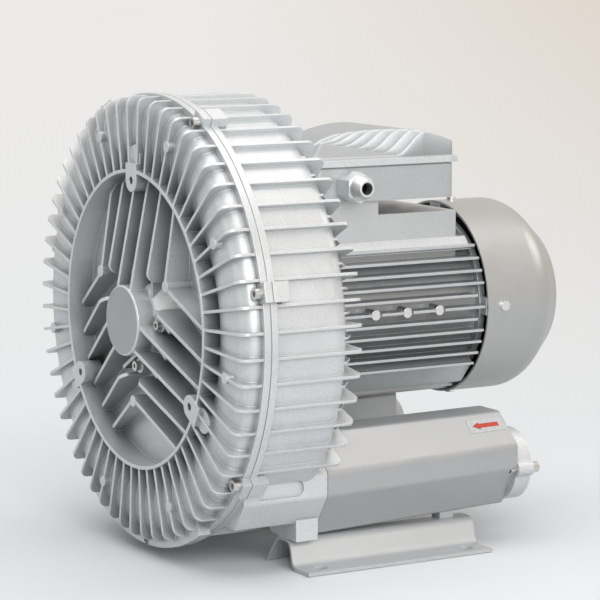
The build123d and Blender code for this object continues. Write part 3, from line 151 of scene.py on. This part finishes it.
# ---------------------------------------------------------------- node and mesh helpers
class Shader:
    """A small wrapper that adds and links the nodes of one material."""

    def __init__(self, name):
        self.material = bpy.data.materials.new(name)
        self.material.use_nodes = True
        self.tree = self.material.node_tree
        self.tree.nodes.clear()
        self.surface = self.add("ShaderNodeBsdfPrincipled")
        self.output = self.add("ShaderNodeOutputMaterial")
        self.link(self.surface, "BSDF", self.output, "Surface")
        self.place = (self.add("ShaderNodeTexCoord"), "Object")

    def add(self, kind, **settings):
        node = self.tree.nodes.new(kind)
        for key, value in settings.items():
            setattr(node, key, value)
        return node

    def link(self, source, output, target, socket):
        self.tree.links.new(source.outputs[output], target.inputs[socket])

    def set(self, **sockets):
        for name, value in sockets.items():
            self.surface.inputs[name].default_value = value

    def feed(self, source, socket):
        self.link(*source, self.surface, socket)

    def noise(self, scale, detail=3.0, roughness=0.5):
        texture = self.add("ShaderNodeTexNoise")
        texture.inputs["Scale"].default_value = scale
        texture.inputs["Detail"].default_value = detail
        texture.inputs["Roughness"].default_value = roughness
        self.link(*self.place, texture, "Vector")
        return (texture, "Fac")

    def ramp(self, source, stops):
        """Tones or colours at a few positions, with straight blends between them."""
        ramp = self.add("ShaderNodeValToRGB")
        elements = ramp.color_ramp.elements
        elements[0].position, elements[0].color = stops[0][0], colour(stops[0][1])
        elements[1].position, elements[1].color = stops[-1][0], colour(stops[-1][1])
        for position, value in stops[1:-1]:
            elements.new(position).color = colour(value)
        self.link(*source, ramp, "Fac")
        return (ramp, "Color")

    def span(self, source, start, end, smooth=False):
        """From 0 to 1 while a value goes from start to end."""
        kind = "SMOOTHSTEP" if smooth else "LINEAR"
        node = self.add("ShaderNodeMapRange", interpolation_type=kind)
        node.inputs["From Min"].default_value = start
        node.inputs["From Max"].default_value = end
        self.link(*source, node, "Value")
        return (node, "Result")

    def larger(self, first, second):
        node = self.add("ShaderNodeMath", operation="MAXIMUM")
        self.link(*first, node, 0)
        self.link(*second, node, 1)
        return (node, "Value")

    def mix(self, factor, first, second):
        """Blend two colours, each a socket or a plain colour, by a socket's value."""
        node = self.add("ShaderNodeMix", data_type="RGBA")
        self.link(*factor, node, 0)
        for index, value in ((6, first), (7, second)):
            if isinstance(value[0], (int, float)):
                node.inputs[index].default_value = colour(value)
            else:
                self.link(*value, node, index)
        return (node, 2)

    def multiply(self, first, second):
        node = self.add("ShaderNodeMix", data_type="RGBA", blend_type="MULTIPLY")
        node.inputs[0].default_value = 1.0
        self.link(*first, node, 6)
        self.link(*second, node, 7)
        return (node, 2)

    def bevel(self, radius):
        rounded = self.add("ShaderNodeBevel", samples=4)
        rounded.inputs["Radius"].default_value = radius
        return (rounded, "Normal")

    def bump(self, source, height, strength, normal=None):
        node = self.add("ShaderNodeBump")
        node.inputs["Strength"].default_value = strength
        node.inputs["Distance"].default_value = height
        self.link(*source, node, "Height")
        if normal:
            self.link(*normal, node, "Normal")
        return (node, "Normal")


def colour(value):
    """Four channels from a tone or from a colour of three."""
    if isinstance(value, (int, float)):
        value = (value, value, value)
    return (*value[:3], 1.0)


def scaled(base, share):
    return tuple(min(c * share, 1.0) for c in base)


def finished_mesh(name, build):
    mesh = bpy.data.meshes.new(name)
    build.to_mesh(mesh)
    build.free()
    return mesh


def add_object(name, data):
    thing = bpy.data.objects.new(name, data)
    bpy.context.scene.collection.objects.link(thing)
    return thing


def aim(thing, place, target):
    """Put a camera or a lamp at a place, turned to a target."""
    thing.location = place
    way = Vector(target) - Vector(place)
    thing.rotation_euler = way.to_track_quat("-Z", "Y").to_euler()


# ---------------------------------------------------------------- materials
def hub_face_tone_and_shade(s):
    """A tone for the turned face at the middle of the cover, darker inside its rim: partly the face's
    own finish, partly painted shade.
    """
    level = s.add("ShaderNodeVectorMath", operation="SUBTRACT")
    s.link(*s.place, level, 0)
    level.inputs[1].default_value = (0.0, 0.0, HUB_AXIS_Z)
    flat = s.add("ShaderNodeVectorMath", operation="MULTIPLY")
    s.link(level, "Vector", flat, 0)
    flat.inputs[1].default_value = (1.0, 0.0, 1.0)
    radius = s.add("ShaderNodeVectorMath", operation="LENGTH")
    s.link(flat, "Vector", radius, 0)
    axes = s.add("ShaderNodeSeparateXYZ")
    s.link(*s.place, axes, 0)
    near, far = HUB_FACE_DEPTH
    outside = s.span((radius, "Value"), HUB_FACE_R, HUB_FACE_R + HUB_FACE_BLEND)
    behind = s.span((axes, "Y"), HUB_FACE_Y + near, HUB_FACE_Y + far)
    return s.ramp(s.larger(outside, behind), [(0.0, HUB_FACE_TONE_AND_SHADE), (1.0, 1.0)])


def painted_casting(name, base, roughness=0.40, dust_and_shade_tone=0.55, depth=0.016, hub_face=False, ridge_highlight_and_shade=False):
    """Silver lacquer over an aluminium casting: fine grain, recesses darkened by grime and painted
    shade, edges brightened by wear and a painted highlight.

    Recesses fall to the given tone of grime and painted shade, over a distance of depth. hub_face
    darkens the cover's turned face, partly its own finish and partly painted shade; the ridge switch
    paints a highlight on crests and shade in grooves.
    """
    s = Shader(name)
    s.set(Metallic=LACQUER_METAL)
    cloud = s.ramp(s.noise(9.0, 4.0), [(0.3, scaled(base, 0.93)), (0.7, scaled(base, 1.05))])
    sparkle = s.ramp(s.noise(1400.0, 2.0), [(0.35, 0.86), (0.5, 0.98), (0.68, 1.12)])
    # Painted shade and grime: where ambient occlusion finds a recess, the colour falls to a darker
    # tone.
    recess = s.add("ShaderNodeAmbientOcclusion", samples=6)
    recess.inputs["Distance"].default_value = depth
    dust_and_shade = s.ramp((recess, "AO"), [(0.15, dust_and_shade_tone), (0.75, 1.0)])
    painted = s.multiply(s.multiply(cloud, sparkle), dust_and_shade)
    # Painted highlight and shade on the lid's flutes: crests brightened and grooves darkened by
    # pointiness.
    if ridge_highlight_and_shade:
        form = s.add("ShaderNodeNewGeometry")
        stops = [(0.44, 0.62), (0.497, 0.88), (0.505, 0.96), (0.56, 1.4)]
        painted = s.multiply(painted, s.ramp((form, "Pointiness"), stops))
    # The hub's face darker: partly its own finish, partly painted shade on a face turned from the
    # lamps.
    if hub_face:
        painted = s.multiply(painted, hub_face_tone_and_shade(s))
    rounded = s.bevel(CASTING_EDGE)
    # Painted highlight and wear: where the rounded shading normal parts from the true one, along
    # edges, the colour is brightened.
    geometry = s.add("ShaderNodeNewGeometry")
    compare = s.add("ShaderNodeVectorMath", operation="DOT_PRODUCT")
    s.link(*rounded, compare, 0)
    s.link(geometry, "Normal", compare, 1)
    edges = s.ramp((compare, "Value"), [(0.86, 1.0), (0.985, 0.0)])
    s.feed(s.mix(edges, painted, scaled(base, 1.28)), "Base Color")
    rough = s.ramp(s.noise(55.0, 4.0), [(0.3, roughness - 0.05), (0.7, roughness + 0.07)])
    s.feed(rough, "Roughness")
    skin = s.bump(s.noise(900.0, 3.0), CASTING_GRAIN, 0.55, rounded)
    s.feed(s.bump(s.noise(160.0, 2.0), CASTING_GRAIN * 1.6, 0.35, skin), "Normal")
    return s.material


def sheet_paint(name, base, roughness=0.36):
    """Silver lacquer over smooth sheet: a finer skin with a light orange peel."""
    s = Shader(name)
    s.set(Metallic=LACQUER_METAL)
    cloud = s.ramp(s.noise(7.0, 3.0), [(0.3, scaled(base, 0.97)), (0.7, base)])
    sparkle = s.ramp(s.noise(1800.0, 2.0), [(0.35, 0.92), (0.65, 1.06)])
    s.feed(s.multiply(cloud, sparkle), "Base Color")
    rough = s.ramp(s.noise(40.0, 3.0), [(0.3, roughness - 0.03), (0.7, roughness + 0.05)])
    s.feed(rough, "Roughness")
    s.feed(s.bump(s.noise(420.0, 2.0), SHEET_PEEL, 0.5, s.bevel(SHEET_EDGE)), "Normal")
    return s.material


def bare_metal(name, base, roughness, grain=0.00003):
    """Turned, ground or plated metal, with fine tool marks."""
    s = Shader(name)
    s.set(Metallic=1.0)
    marks = s.noise(700.0, 3.0, 0.6)
    s.feed(s.ramp(marks, [(0.3, scaled(base, 0.94)), (0.7, base)]), "Base Color")
    s.feed(s.ramp(marks, [(0.3, roughness - 0.03), (0.7, roughness + 0.05)]), "Roughness")
    s.feed(s.bump(marks, grain, 0.25, s.bevel(METAL_EDGE)), "Normal")
    return s.material


def matt_plastic(name, base, roughness=0.55, grain=0.00006):
    """Plastic, rubber, ink or film without metal: a faint mottle and a fine skin."""
    s = Shader(name)
    s.feed(s.ramp(s.noise(300.0, 3.0), [(0.3, scaled(base, 0.8)), (0.7, base)]), "Base Color")
    s.feed(s.ramp(s.noise(60.0), [(0.3, roughness - 0.06), (0.7, roughness + 0.08)]), "Roughness")
    s.feed(s.bump(s.noise(1100.0, 2.0), grain, 0.5), "Normal")
    return s.material


def open_foam(name, base):
    """Sound-damping foam with open cells."""
    s = Shader(name)
    s.set(Roughness=0.95)
    cells = s.add("ShaderNodeTexVoronoi")
    cells.inputs["Scale"].default_value = 450.0
    s.link(*s.place, cells, "Vector")
    depth = (cells, "Distance")
    s.feed(s.ramp(depth, [(0.15, scaled(base, 0.35)), (0.6, base)]), "Base Color")
    s.feed(s.bump(depth, 0.0008, 0.8), "Normal")
    return s.material


def laminated(name, base):
    """A stack of thin steel sheets, seen on edge."""
    s = Shader(name)
    s.set(Metallic=0.9, Roughness=0.5)
    sheets = s.add("ShaderNodeTexWave", wave_type="BANDS", bands_direction="Y")
    sheets.inputs["Scale"].default_value = 320.0
    s.link(*s.place, sheets, "Vector")
    bands = (sheets, "Fac")
    s.feed(s.ramp(bands, [(0.2, scaled(base, 0.5)), (0.6, base)]), "Base Color")
    s.feed(s.bump(bands, 0.0001, 0.5), "Normal")
    return s.material


SILVER = (0.76, 0.782, 0.795)
# One silver lacquer covers the whole unit; base tones that differ from part to part are painted light
# and shade: the cover and casing lighter, the motor, terminal box, lid, cowl and silencer sheets
# darker where shade falls or glare is toned down.
MATERIALS = {
    "silver_casting": painted_casting("silver_casting", SILVER),
    "cover_casting": painted_casting("cover_casting", SILVER, 0.38, 0.40, 0.034, hub_face=True),
    "motor_casting": painted_casting("motor_casting", (0.64, 0.662, 0.672), 0.36, 0.6, 0.02),
    "silver_sheet": sheet_paint("silver_sheet", (0.52, 0.534, 0.542)),
    "box_casting": painted_casting("box_casting", (0.55, 0.572, 0.585), 0.46),
    "bare_aluminium": bare_metal("bare_aluminium", (0.72, 0.72, 0.72), 0.38),
    "plated_brass": bare_metal("plated_brass", (0.76, 0.78, 0.785), 0.46, 0.00001),
    "copper": bare_metal("copper", (0.72, 0.33, 0.16), 0.35),
    "black_rubber": matt_plastic("black_rubber", (0.02, 0.02, 0.02), 0.7),
    "grey_foam": open_foam("grey_foam", (0.10, 0.10, 0.10)),
    "black_plastic": matt_plastic("black_plastic", (0.03, 0.03, 0.03)),
    "laminations": laminated("laminations", (0.30, 0.30, 0.31)),
    "zinc_steel": bare_metal("zinc_steel", (0.66, 0.66, 0.65), 0.30),
    "machined_steel": bare_metal("machined_steel", (0.60, 0.60, 0.60), 0.28),
    "cowl_sheet": sheet_paint("cowl_sheet", (0.53, 0.534, 0.528)),
    "rail_sheet": sheet_paint("rail_sheet", (0.66, 0.678, 0.69), 0.42),
    "lid_casting": painted_casting(
        "lid_casting", (0.52, 0.542, 0.554), 0.46, 0.42, 0.007, ridge_highlight_and_shade=True
    ),
    "bright_screw": bare_metal("bright_screw", (0.86, 0.87, 0.87), 0.24, 0.00001),
    "joint_line": matt_plastic("joint_line", (0.38, 0.385, 0.38), 0.5),
    "sticker_film": matt_plastic("sticker_film", (0.66, 0.67, 0.67), 0.35, 0.00001),
    "red_ink": matt_plastic("red_ink", (0.62, 0.06, 0.035), 0.4, 0.00001),
}

# nodes that look different from the material of their slot
LOOKS = {
    "front_cover": "cover_casting",
    "cowl_screws": "bright_screw",
    "fan_cowl": "cowl_sheet",
    "foot_rail_left": "rail_sheet",
    "foot_rail_right": "rail_sheet",
    "motor_side_screws": "bright_screw",
    "silencer_left": "silver_sheet",
    "silencer_right": "silver_sheet",
    "cover_gasket": "joint_line",
    "silencer_gasket_left": "joint_line",
    "silencer_gasket_right": "joint_line",
    "terminal_box_gasket": "joint_line",
}


def finish_nodes():
    """Give each node of the frame its material."""
    for entry in frame["record"]["subparts"]:
        node = nodes[entry["node"]]
        material = MATERIALS[LOOKS.get(entry["node"], entry["material_slot"])]
        node.data.materials.clear()
        node.data.materials.append(material)


# ---------------------------------------------------------------- terminal box lid
def lid_crest(y):
    """Height of the crown's middle along the lid, as a smooth curve through a few heights."""
    stations = [station for station, _ in LID_CREST]
    i = max(k for k in range(len(LID_CREST) - 1) if stations[k] <= y or k == 0)
    (y0, z0), (y1, z1) = LID_CREST[i], LID_CREST[i + 1]

    def slope(k):
        before, after = LID_CREST[max(k - 1, 0)], LID_CREST[min(k + 1, len(LID_CREST) - 1)]
        return (after[1] - before[1]) / (after[0] - before[0])

    t = min(max((y - y0) / (y1 - y0), 0.0), 1.0)
    span = y1 - y0
    return (
        (2 * t**3 - 3 * t**2 + 1) * z0
        + (t**3 - 2 * t**2 + t) * span * slope(i)
        + (3 * t**2 - 2 * t**3) * z1
        + (t**3 - t**2) * span * slope(i + 1)
    )


def lid_height(x, y):
    """Top of the lid over its lower face: an apron, an S-shaped climb and the crown, with flutes."""
    inward = LID_SIDE - abs(x)
    crest = lid_crest(y)
    apron = LID_APRON + LID_APRON_SLOPE * max(inward, 0.0)
    climb_start = LID_CLIMB_Y - LID_FAN * inward
    t = min(max((y - climb_start) / LID_CLIMB, 0.0), 1.0)
    smooth = t * t * (3 - 2 * t)
    height = min(apron, crest) + max(crest - apron, 0.0) * smooth
    turn = inward / LID_FLUTE_PITCH
    if 0 < turn < LID_FLUTES:
        height -= LID_FLUTE_DEPTH * abs(math.sin(math.pi * turn)) * 4 * t * (1 - t)
    return height


def rounded_corner(x, y, half_x, half_y, radius):
    """Move a point of a rectangle's grid so that the rectangle's corners are round."""
    dx, dy = abs(x) - (half_x - radius), abs(y) - (half_y - radius)
    if dx <= 0 or dy <= 0:
        return x, y
    share = max(dx, dy) / math.hypot(dx, dy)
    return (
        math.copysign(half_x - radius + dx * share, x),
        math.copysign(half_y - radius + dy * share, y),
    )


def lid_mesh():
    """The lid as one closed mesh: a grid of heights on top, a stepped skirt and a flat bottom."""
    low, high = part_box("terminal_box_lid")
    bottom = low[2]
    start, end = low[1] + LID_BAND, BOX_REAR
    middle, half_y, half_x = (start + end) / 2, (end - start) / 2, LID_HALF
    build = bmesh.new()

    def grid_point(i, j, outset):
        """Place of a grid point in plan, pushed out from the lid's middle by an outset."""
        x = half_x * (2 * i / LID_GRID_X - 1) * (1 + outset / half_x)
        y = half_y * (2 * j / LID_GRID_Y - 1) * (1 + outset / half_y)
        return rounded_corner(x, y, half_x + outset, half_y + outset, LID_CORNER + outset)

    grid = {}
    for i in range(LID_GRID_X + 1):
        for j in range(LID_GRID_Y + 1):
            x, y = grid_point(i, j, 0.0)
            height = min(lid_height(x, y + middle), high[2] - bottom - LID_HEADROOM)
            if i in (0, LID_GRID_X) or j in (0, LID_GRID_Y):
                height = max(height - LID_EDGE, LID_STEP)
            grid[i, j] = build.verts.new((x, y + middle, bottom + height))
    for i in range(LID_GRID_X):
        for j in range(LID_GRID_Y):
            build.faces.new((grid[i, j], grid[i + 1, j], grid[i + 1, j + 1], grid[i, j + 1]))
    around = [(i, 0) for i in range(LID_GRID_X)]
    around += [(LID_GRID_X, j) for j in range(LID_GRID_Y)]
    around += [(i, LID_GRID_Y) for i in range(LID_GRID_X, 0, -1)]
    around += [(0, j) for j in range(LID_GRID_Y, 0, -1)]
    loop = [grid[key] for key in around]
    for outset, height in LID_SKIRT:
        ring = []
        for key in around:
            x, y = grid_point(*key, outset)
            ring.append(build.verts.new((x, y + middle, bottom + height)))
        for k in range(len(ring)):
            n = (k + 1) % len(ring)
            build.faces.new((loop[n], loop[k], ring[k], ring[n]))
        loop = ring
    build.faces.new(loop)
    bmesh.ops.recalc_face_normals(build, faces=build.faces)
    return finished_mesh("terminal_box_cover", build)


def well_cutter(x, y, z0, z1):
    """A cylinder that cuts the well of one lid screw."""
    build = bmesh.new()
    size = {"radius1": LID_WELL_R, "radius2": LID_WELL_R, "depth": z1 - z0}
    bmesh.ops.create_cone(build, cap_ends=True, segments=LID_WELL_SIDES, **size)
    bmesh.ops.translate(build, verts=build.verts, vec=(x, y, (z0 + z1) / 2))
    return add_object("well", finished_mesh("well", build))


def add_block(mesh, x0, x1, y0, y1, z0, z1):
    """Add a small block with rounded edges to a mesh."""
    build = bmesh.new()
    build.from_mesh(mesh)
    block = bmesh.ops.create_cube(build, size=1.0)["verts"]
    for vert in block:
        x, y, z = (c + 0.5 for c in vert.co)
        vert.co = (x0 + x * (x1 - x0), y0 + y * (y1 - y0), z0 + z * (z1 - z0))
    edges = list({edge for vert in block for edge in vert.link_edges})
    bmesh.ops.bevel(
        build, geom=edges, offset=LID_CLIP_EDGE, segments=2, affect="EDGES", profile=0.5
    )
    build.to_mesh(mesh)
    build.free()


def make_lid():
    """The lid's fluted crown as a fine mesh, with the wells of its four screws and a rear clip."""
    low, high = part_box("terminal_box_lid")
    lid = add_object("terminal_box_cover", lid_mesh())
    cutters = []
    for side in (-1, 1):
        for y in LID_SCREWS_Y:
            ends = low[2] + LID_SEAT, high[2] + LID_WELL_RISE
            cutter = well_cutter(side * LID_SCREW_X, y, *ends)
            change = lid.modifiers.new("well", "BOOLEAN")
            change.operation, change.object, change.solver = "DIFFERENCE", cutter, "EXACT"
            cutters.append(cutter)
    evaluated = lid.evaluated_get(bpy.context.evaluated_depsgraph_get())
    cut = bpy.data.meshes.new_from_object(evaluated)
    lid.modifiers.clear()
    lid.data = cut
    cut.name = "terminal_box_cover"
    for cutter in cutters:
        bpy.data.objects.remove(cutter)
    rear, top = (BOX_REAR - LID_CLIP_LAP, high[1]), (low[2], low[2] + LID_CLIP_HEIGHT)
    add_block(cut, *LID_CLIP_X, *rear, *top)
    cut.shade_smooth()
    cut.set_sharp_from_angle(angle=math.radians(LID_SHARP_DEGREES))
    cut.materials.clear()
    cut.materials.append(MATERIALS["lid_casting"])
    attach(lid, "root")
    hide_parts("terminal_box_lid")


# ---------------------------------------------------------------- arrow sticker
def slant_point(y, share, lift):
    """A point on the right silencer's upper slanting face, lifted off it by a little."""
    start, end = SLANT_FRONT, SLANT_REAR
    along = (y - start["y"]) / (end["y"] - start["y"])
    top = [a + (b - a) * along for a, b in zip(start["top"], end["top"])]
    low = [a + (b - a) * along for a, b in zip(start["low"], end["low"])]
    x, z = (a + (b - a) * share for a, b in zip(top, low))
    across = Vector((low[0] - top[0], low[1] - top[1])).normalized()
    return Vector((x - across.y * lift, y, z + across.x * lift))


def flat_film(name, outline, low, high, material):
    """A thin closed film on the slanting face, from an outline of (y, share) points."""
    build = bmesh.new()
    bottom = [build.verts.new(slant_point(y, share, low)) for y, share in outline]
    top = [build.verts.new(slant_point(y, share, high)) for y, share in outline]
    build.faces.new(bottom[::-1])
    build.faces.new(top)
    count = len(outline)
    for i in range(count):
        j = (i + 1) % count
        build.faces.new((bottom[i], bottom[j], top[j], top[i]))
    bmesh.ops.recalc_face_normals(build, faces=build.faces)
    mesh = finished_mesh(name, build)
    mesh.materials.append(material)
    film = add_object(name, mesh)
    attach(film, "root")


def rounded_box(y0, y1, s0, s1, share_per_metre):
    """Outline of a rectangle with rounded corners, as (y, share) points of the slanting face."""
    points = []
    radius, steps = STICKER_CORNER, STICKER_CORNER_POINTS
    corners = ((y1, s1, 0), (y0, s1, 90), (y0, s0, 180), (y1, s0, 270))
    for y, share, turn in corners:
        centre_y = y - math.copysign(radius, y - (y0 + y1) / 2)
        centre_s = share - math.copysign(radius * share_per_metre, share - (s0 + s1) / 2)
        for i in range(steps):
            angle = math.radians(turn + 90 * i / (steps - 1))
            along, across = radius * math.cos(angle), radius * math.sin(angle)
            points.append((centre_y + along, centre_s + across * share_per_metre))
    return points


def arrow_sticker():
    """Direction of flow: a red arrow on a pale film, pointing to the casing."""
    per_metre = 1.0 / SLANT_WIDTH
    upper, lower = STICKER_TOP * per_metre, STICKER_LOW * per_metre
    middle = (upper + lower) / 2
    box = rounded_box(STICKER_START, STICKER_END, upper, lower, per_metre)
    flat_film("arrow_sticker", box, *STICKER_FILM, MATERIALS["sticker_film"])
    tip, neck, tail = ARROW_TIP, ARROW_TIP + ARROW_HEAD, ARROW_TIP + ARROW_LENGTH
    head, shaft = ARROW_HEAD_HALF * per_metre, ARROW_SHAFT_HALF * per_metre
    outline = [
        (tip, middle),
        (neck, middle - head),
        (neck, middle - shaft),
        (tail, middle - shaft),
        (tail, middle + shaft),
        (neck, middle + shaft),
        (neck, middle + head),
    ]
    flat_film("arrow_print", outline, *STICKER_INK, MATERIALS["red_ink"])


# ---------------------------------------------------------------- room
def floor_material():
    """A near-white floor that keeps the object's shadow and fades out into the backdrop."""
    s = Shader("floor_paint")
    tone = s.ramp(s.noise(3.0), [(0.3, FLOOR_DARK), (0.7, FLOOR_LIGHT)])
    path = s.add("ShaderNodeLightPath")
    seen = s.larger((path, "Is Camera Ray"), (path, "Is Glossy Ray"))
    seen = s.larger(seen, (path, "Is Transmission Ray"))
    s.feed(s.mix(seen, FLOOR_BOUNCE, tone), "Base Color")
    s.set(Roughness=FLOOR_ROUGHNESS)
    s.surface.inputs["Specular IOR Level"].default_value = FLOOR_SHINE
    distance = s.add("ShaderNodeVectorMath", operation="LENGTH")
    s.link(*s.place, distance, 0)
    fade = s.span((distance, "Value"), FLOOR_FADE_START, FLOOR_FADE_END, smooth=True)
    clear = s.add("ShaderNodeBsdfTransparent")
    blend = s.add("ShaderNodeMixShader")
    s.link(*fade, blend, 0)
    s.link(s.surface, "BSDF", blend, 1)
    s.link(clear, "BSDF", blend, 2)
    s.link(blend, "Shader", s.output, "Surface")
    return s.material


def make_floor():
    """A square floor just under the rails, for the picture only."""
    build = bmesh.new()
    half = FLOOR_HALF
    corners = [(-half, -half), (half, -half), (half, half), (-half, half)]
    build.faces.new([build.verts.new((x, y, FLOOR_Z)) for x, y in corners])
    mesh = finished_mesh("floor", build)
    floor = add_object("floor", mesh)
    mesh.materials.append(floor_material())


def make_world():
    """A plain level of light, and for the camera and reflections a pale seamless backdrop."""
    world = bpy.data.worlds.new("studio")
    bpy.context.scene.world = world
    world.use_nodes = True
    tree = world.node_tree
    tree.nodes.clear()

    def add(kind, **values):
        node = tree.nodes.new(kind)
        for socket, value in values.items():
            node.inputs[socket].default_value = value
        return node

    def span(factor, low, high):
        node = add("ShaderNodeMapRange")
        node.inputs["From Min"].default_value, node.inputs["From Max"].default_value = low, high
        tree.links.new(factor, node.inputs["Value"])
        return node.outputs["Result"]

    def blend(factor, first, second):
        node = tree.nodes.new("ShaderNodeMix")
        node.data_type = "RGBA"
        tree.links.new(factor, node.inputs[0])
        for index, value in ((6, first), (7, second)):
            if isinstance(value, tuple):
                node.inputs[index].default_value = colour(value)
            else:
                tree.links.new(value, node.inputs[index])
        return node.outputs[2]

    direction = add("ShaderNodeTexCoord").outputs["Generated"]
    split = add("ShaderNodeSeparateXYZ")
    tree.links.new(direction, split.inputs[0])
    to_right = tree.nodes.new("ShaderNodeVectorMath")
    to_right.operation = "DOT_PRODUCT"
    to_right.inputs[1].default_value = WARM_SIDE
    tree.links.new(direction, to_right.inputs[0])
    upper = span(split.outputs["Z"], *WALL_RISE)
    right = span(to_right.outputs["Value"], *WALL_TURN)
    top_colour = blend(right, WALL_COOL, WALL_WARM)
    backdrop = add("ShaderNodeBackground", Strength=1.0)
    tree.links.new(blend(upper, WALL_LOW, top_colour), backdrop.inputs["Color"])
    light = add("ShaderNodeBackground", Color=WORLD_LIGHT, Strength=WORLD_LEVEL)
    path = add("ShaderNodeLightPath")
    seen = path.outputs["Is Camera Ray"]
    for other in ("Is Glossy Ray", "Is Transmission Ray"):
        either = tree.nodes.new("ShaderNodeMath")
        either.operation = "MAXIMUM"
        tree.links.new(seen, either.inputs[0])
        tree.links.new(path.outputs[other], either.inputs[1])
        seen = either.outputs[0]
    mix = add("ShaderNodeMixShader")
    output = add("ShaderNodeOutputWorld")
    tree.links.new(seen, mix.inputs[0])
    tree.links.new(light.outputs[0], mix.inputs[1])
    tree.links.new(backdrop.outputs[0], mix.inputs[2])
    tree.links.new(mix.outputs[0], output.inputs["Surface"])


def make_lights():
    """Soft boxes all round, each turned to the object."""
    for name, place, size, power, tint in LAMPS:
        data = bpy.data.lights.new(name, "AREA")
        data.shape = "RECTANGLE"
        data.size, data.size_y = size
        data.energy = power
        data.color = tint
        aim(add_object(name, data), place, LAMP_TARGET)


def make_camera():
    """The photo's camera."""
    data = bpy.data.cameras.new("camera")
    data.lens = LENS_MM
    data.sensor_width = SENSOR_MM
    data.clip_start, data.clip_end = CLIP_START, CLIP_END
    camera = add_object("camera", data)
    aim(camera, CAMERA_PLACE, CAMERA_TARGET)
    bpy.context.scene.camera = camera


make_camera()
make_world()
make_lights()
make_floor()
finish_nodes()
make_lid()
arrow_sticker()

bpy.context.scene.view_settings.view_transform = "Standard"
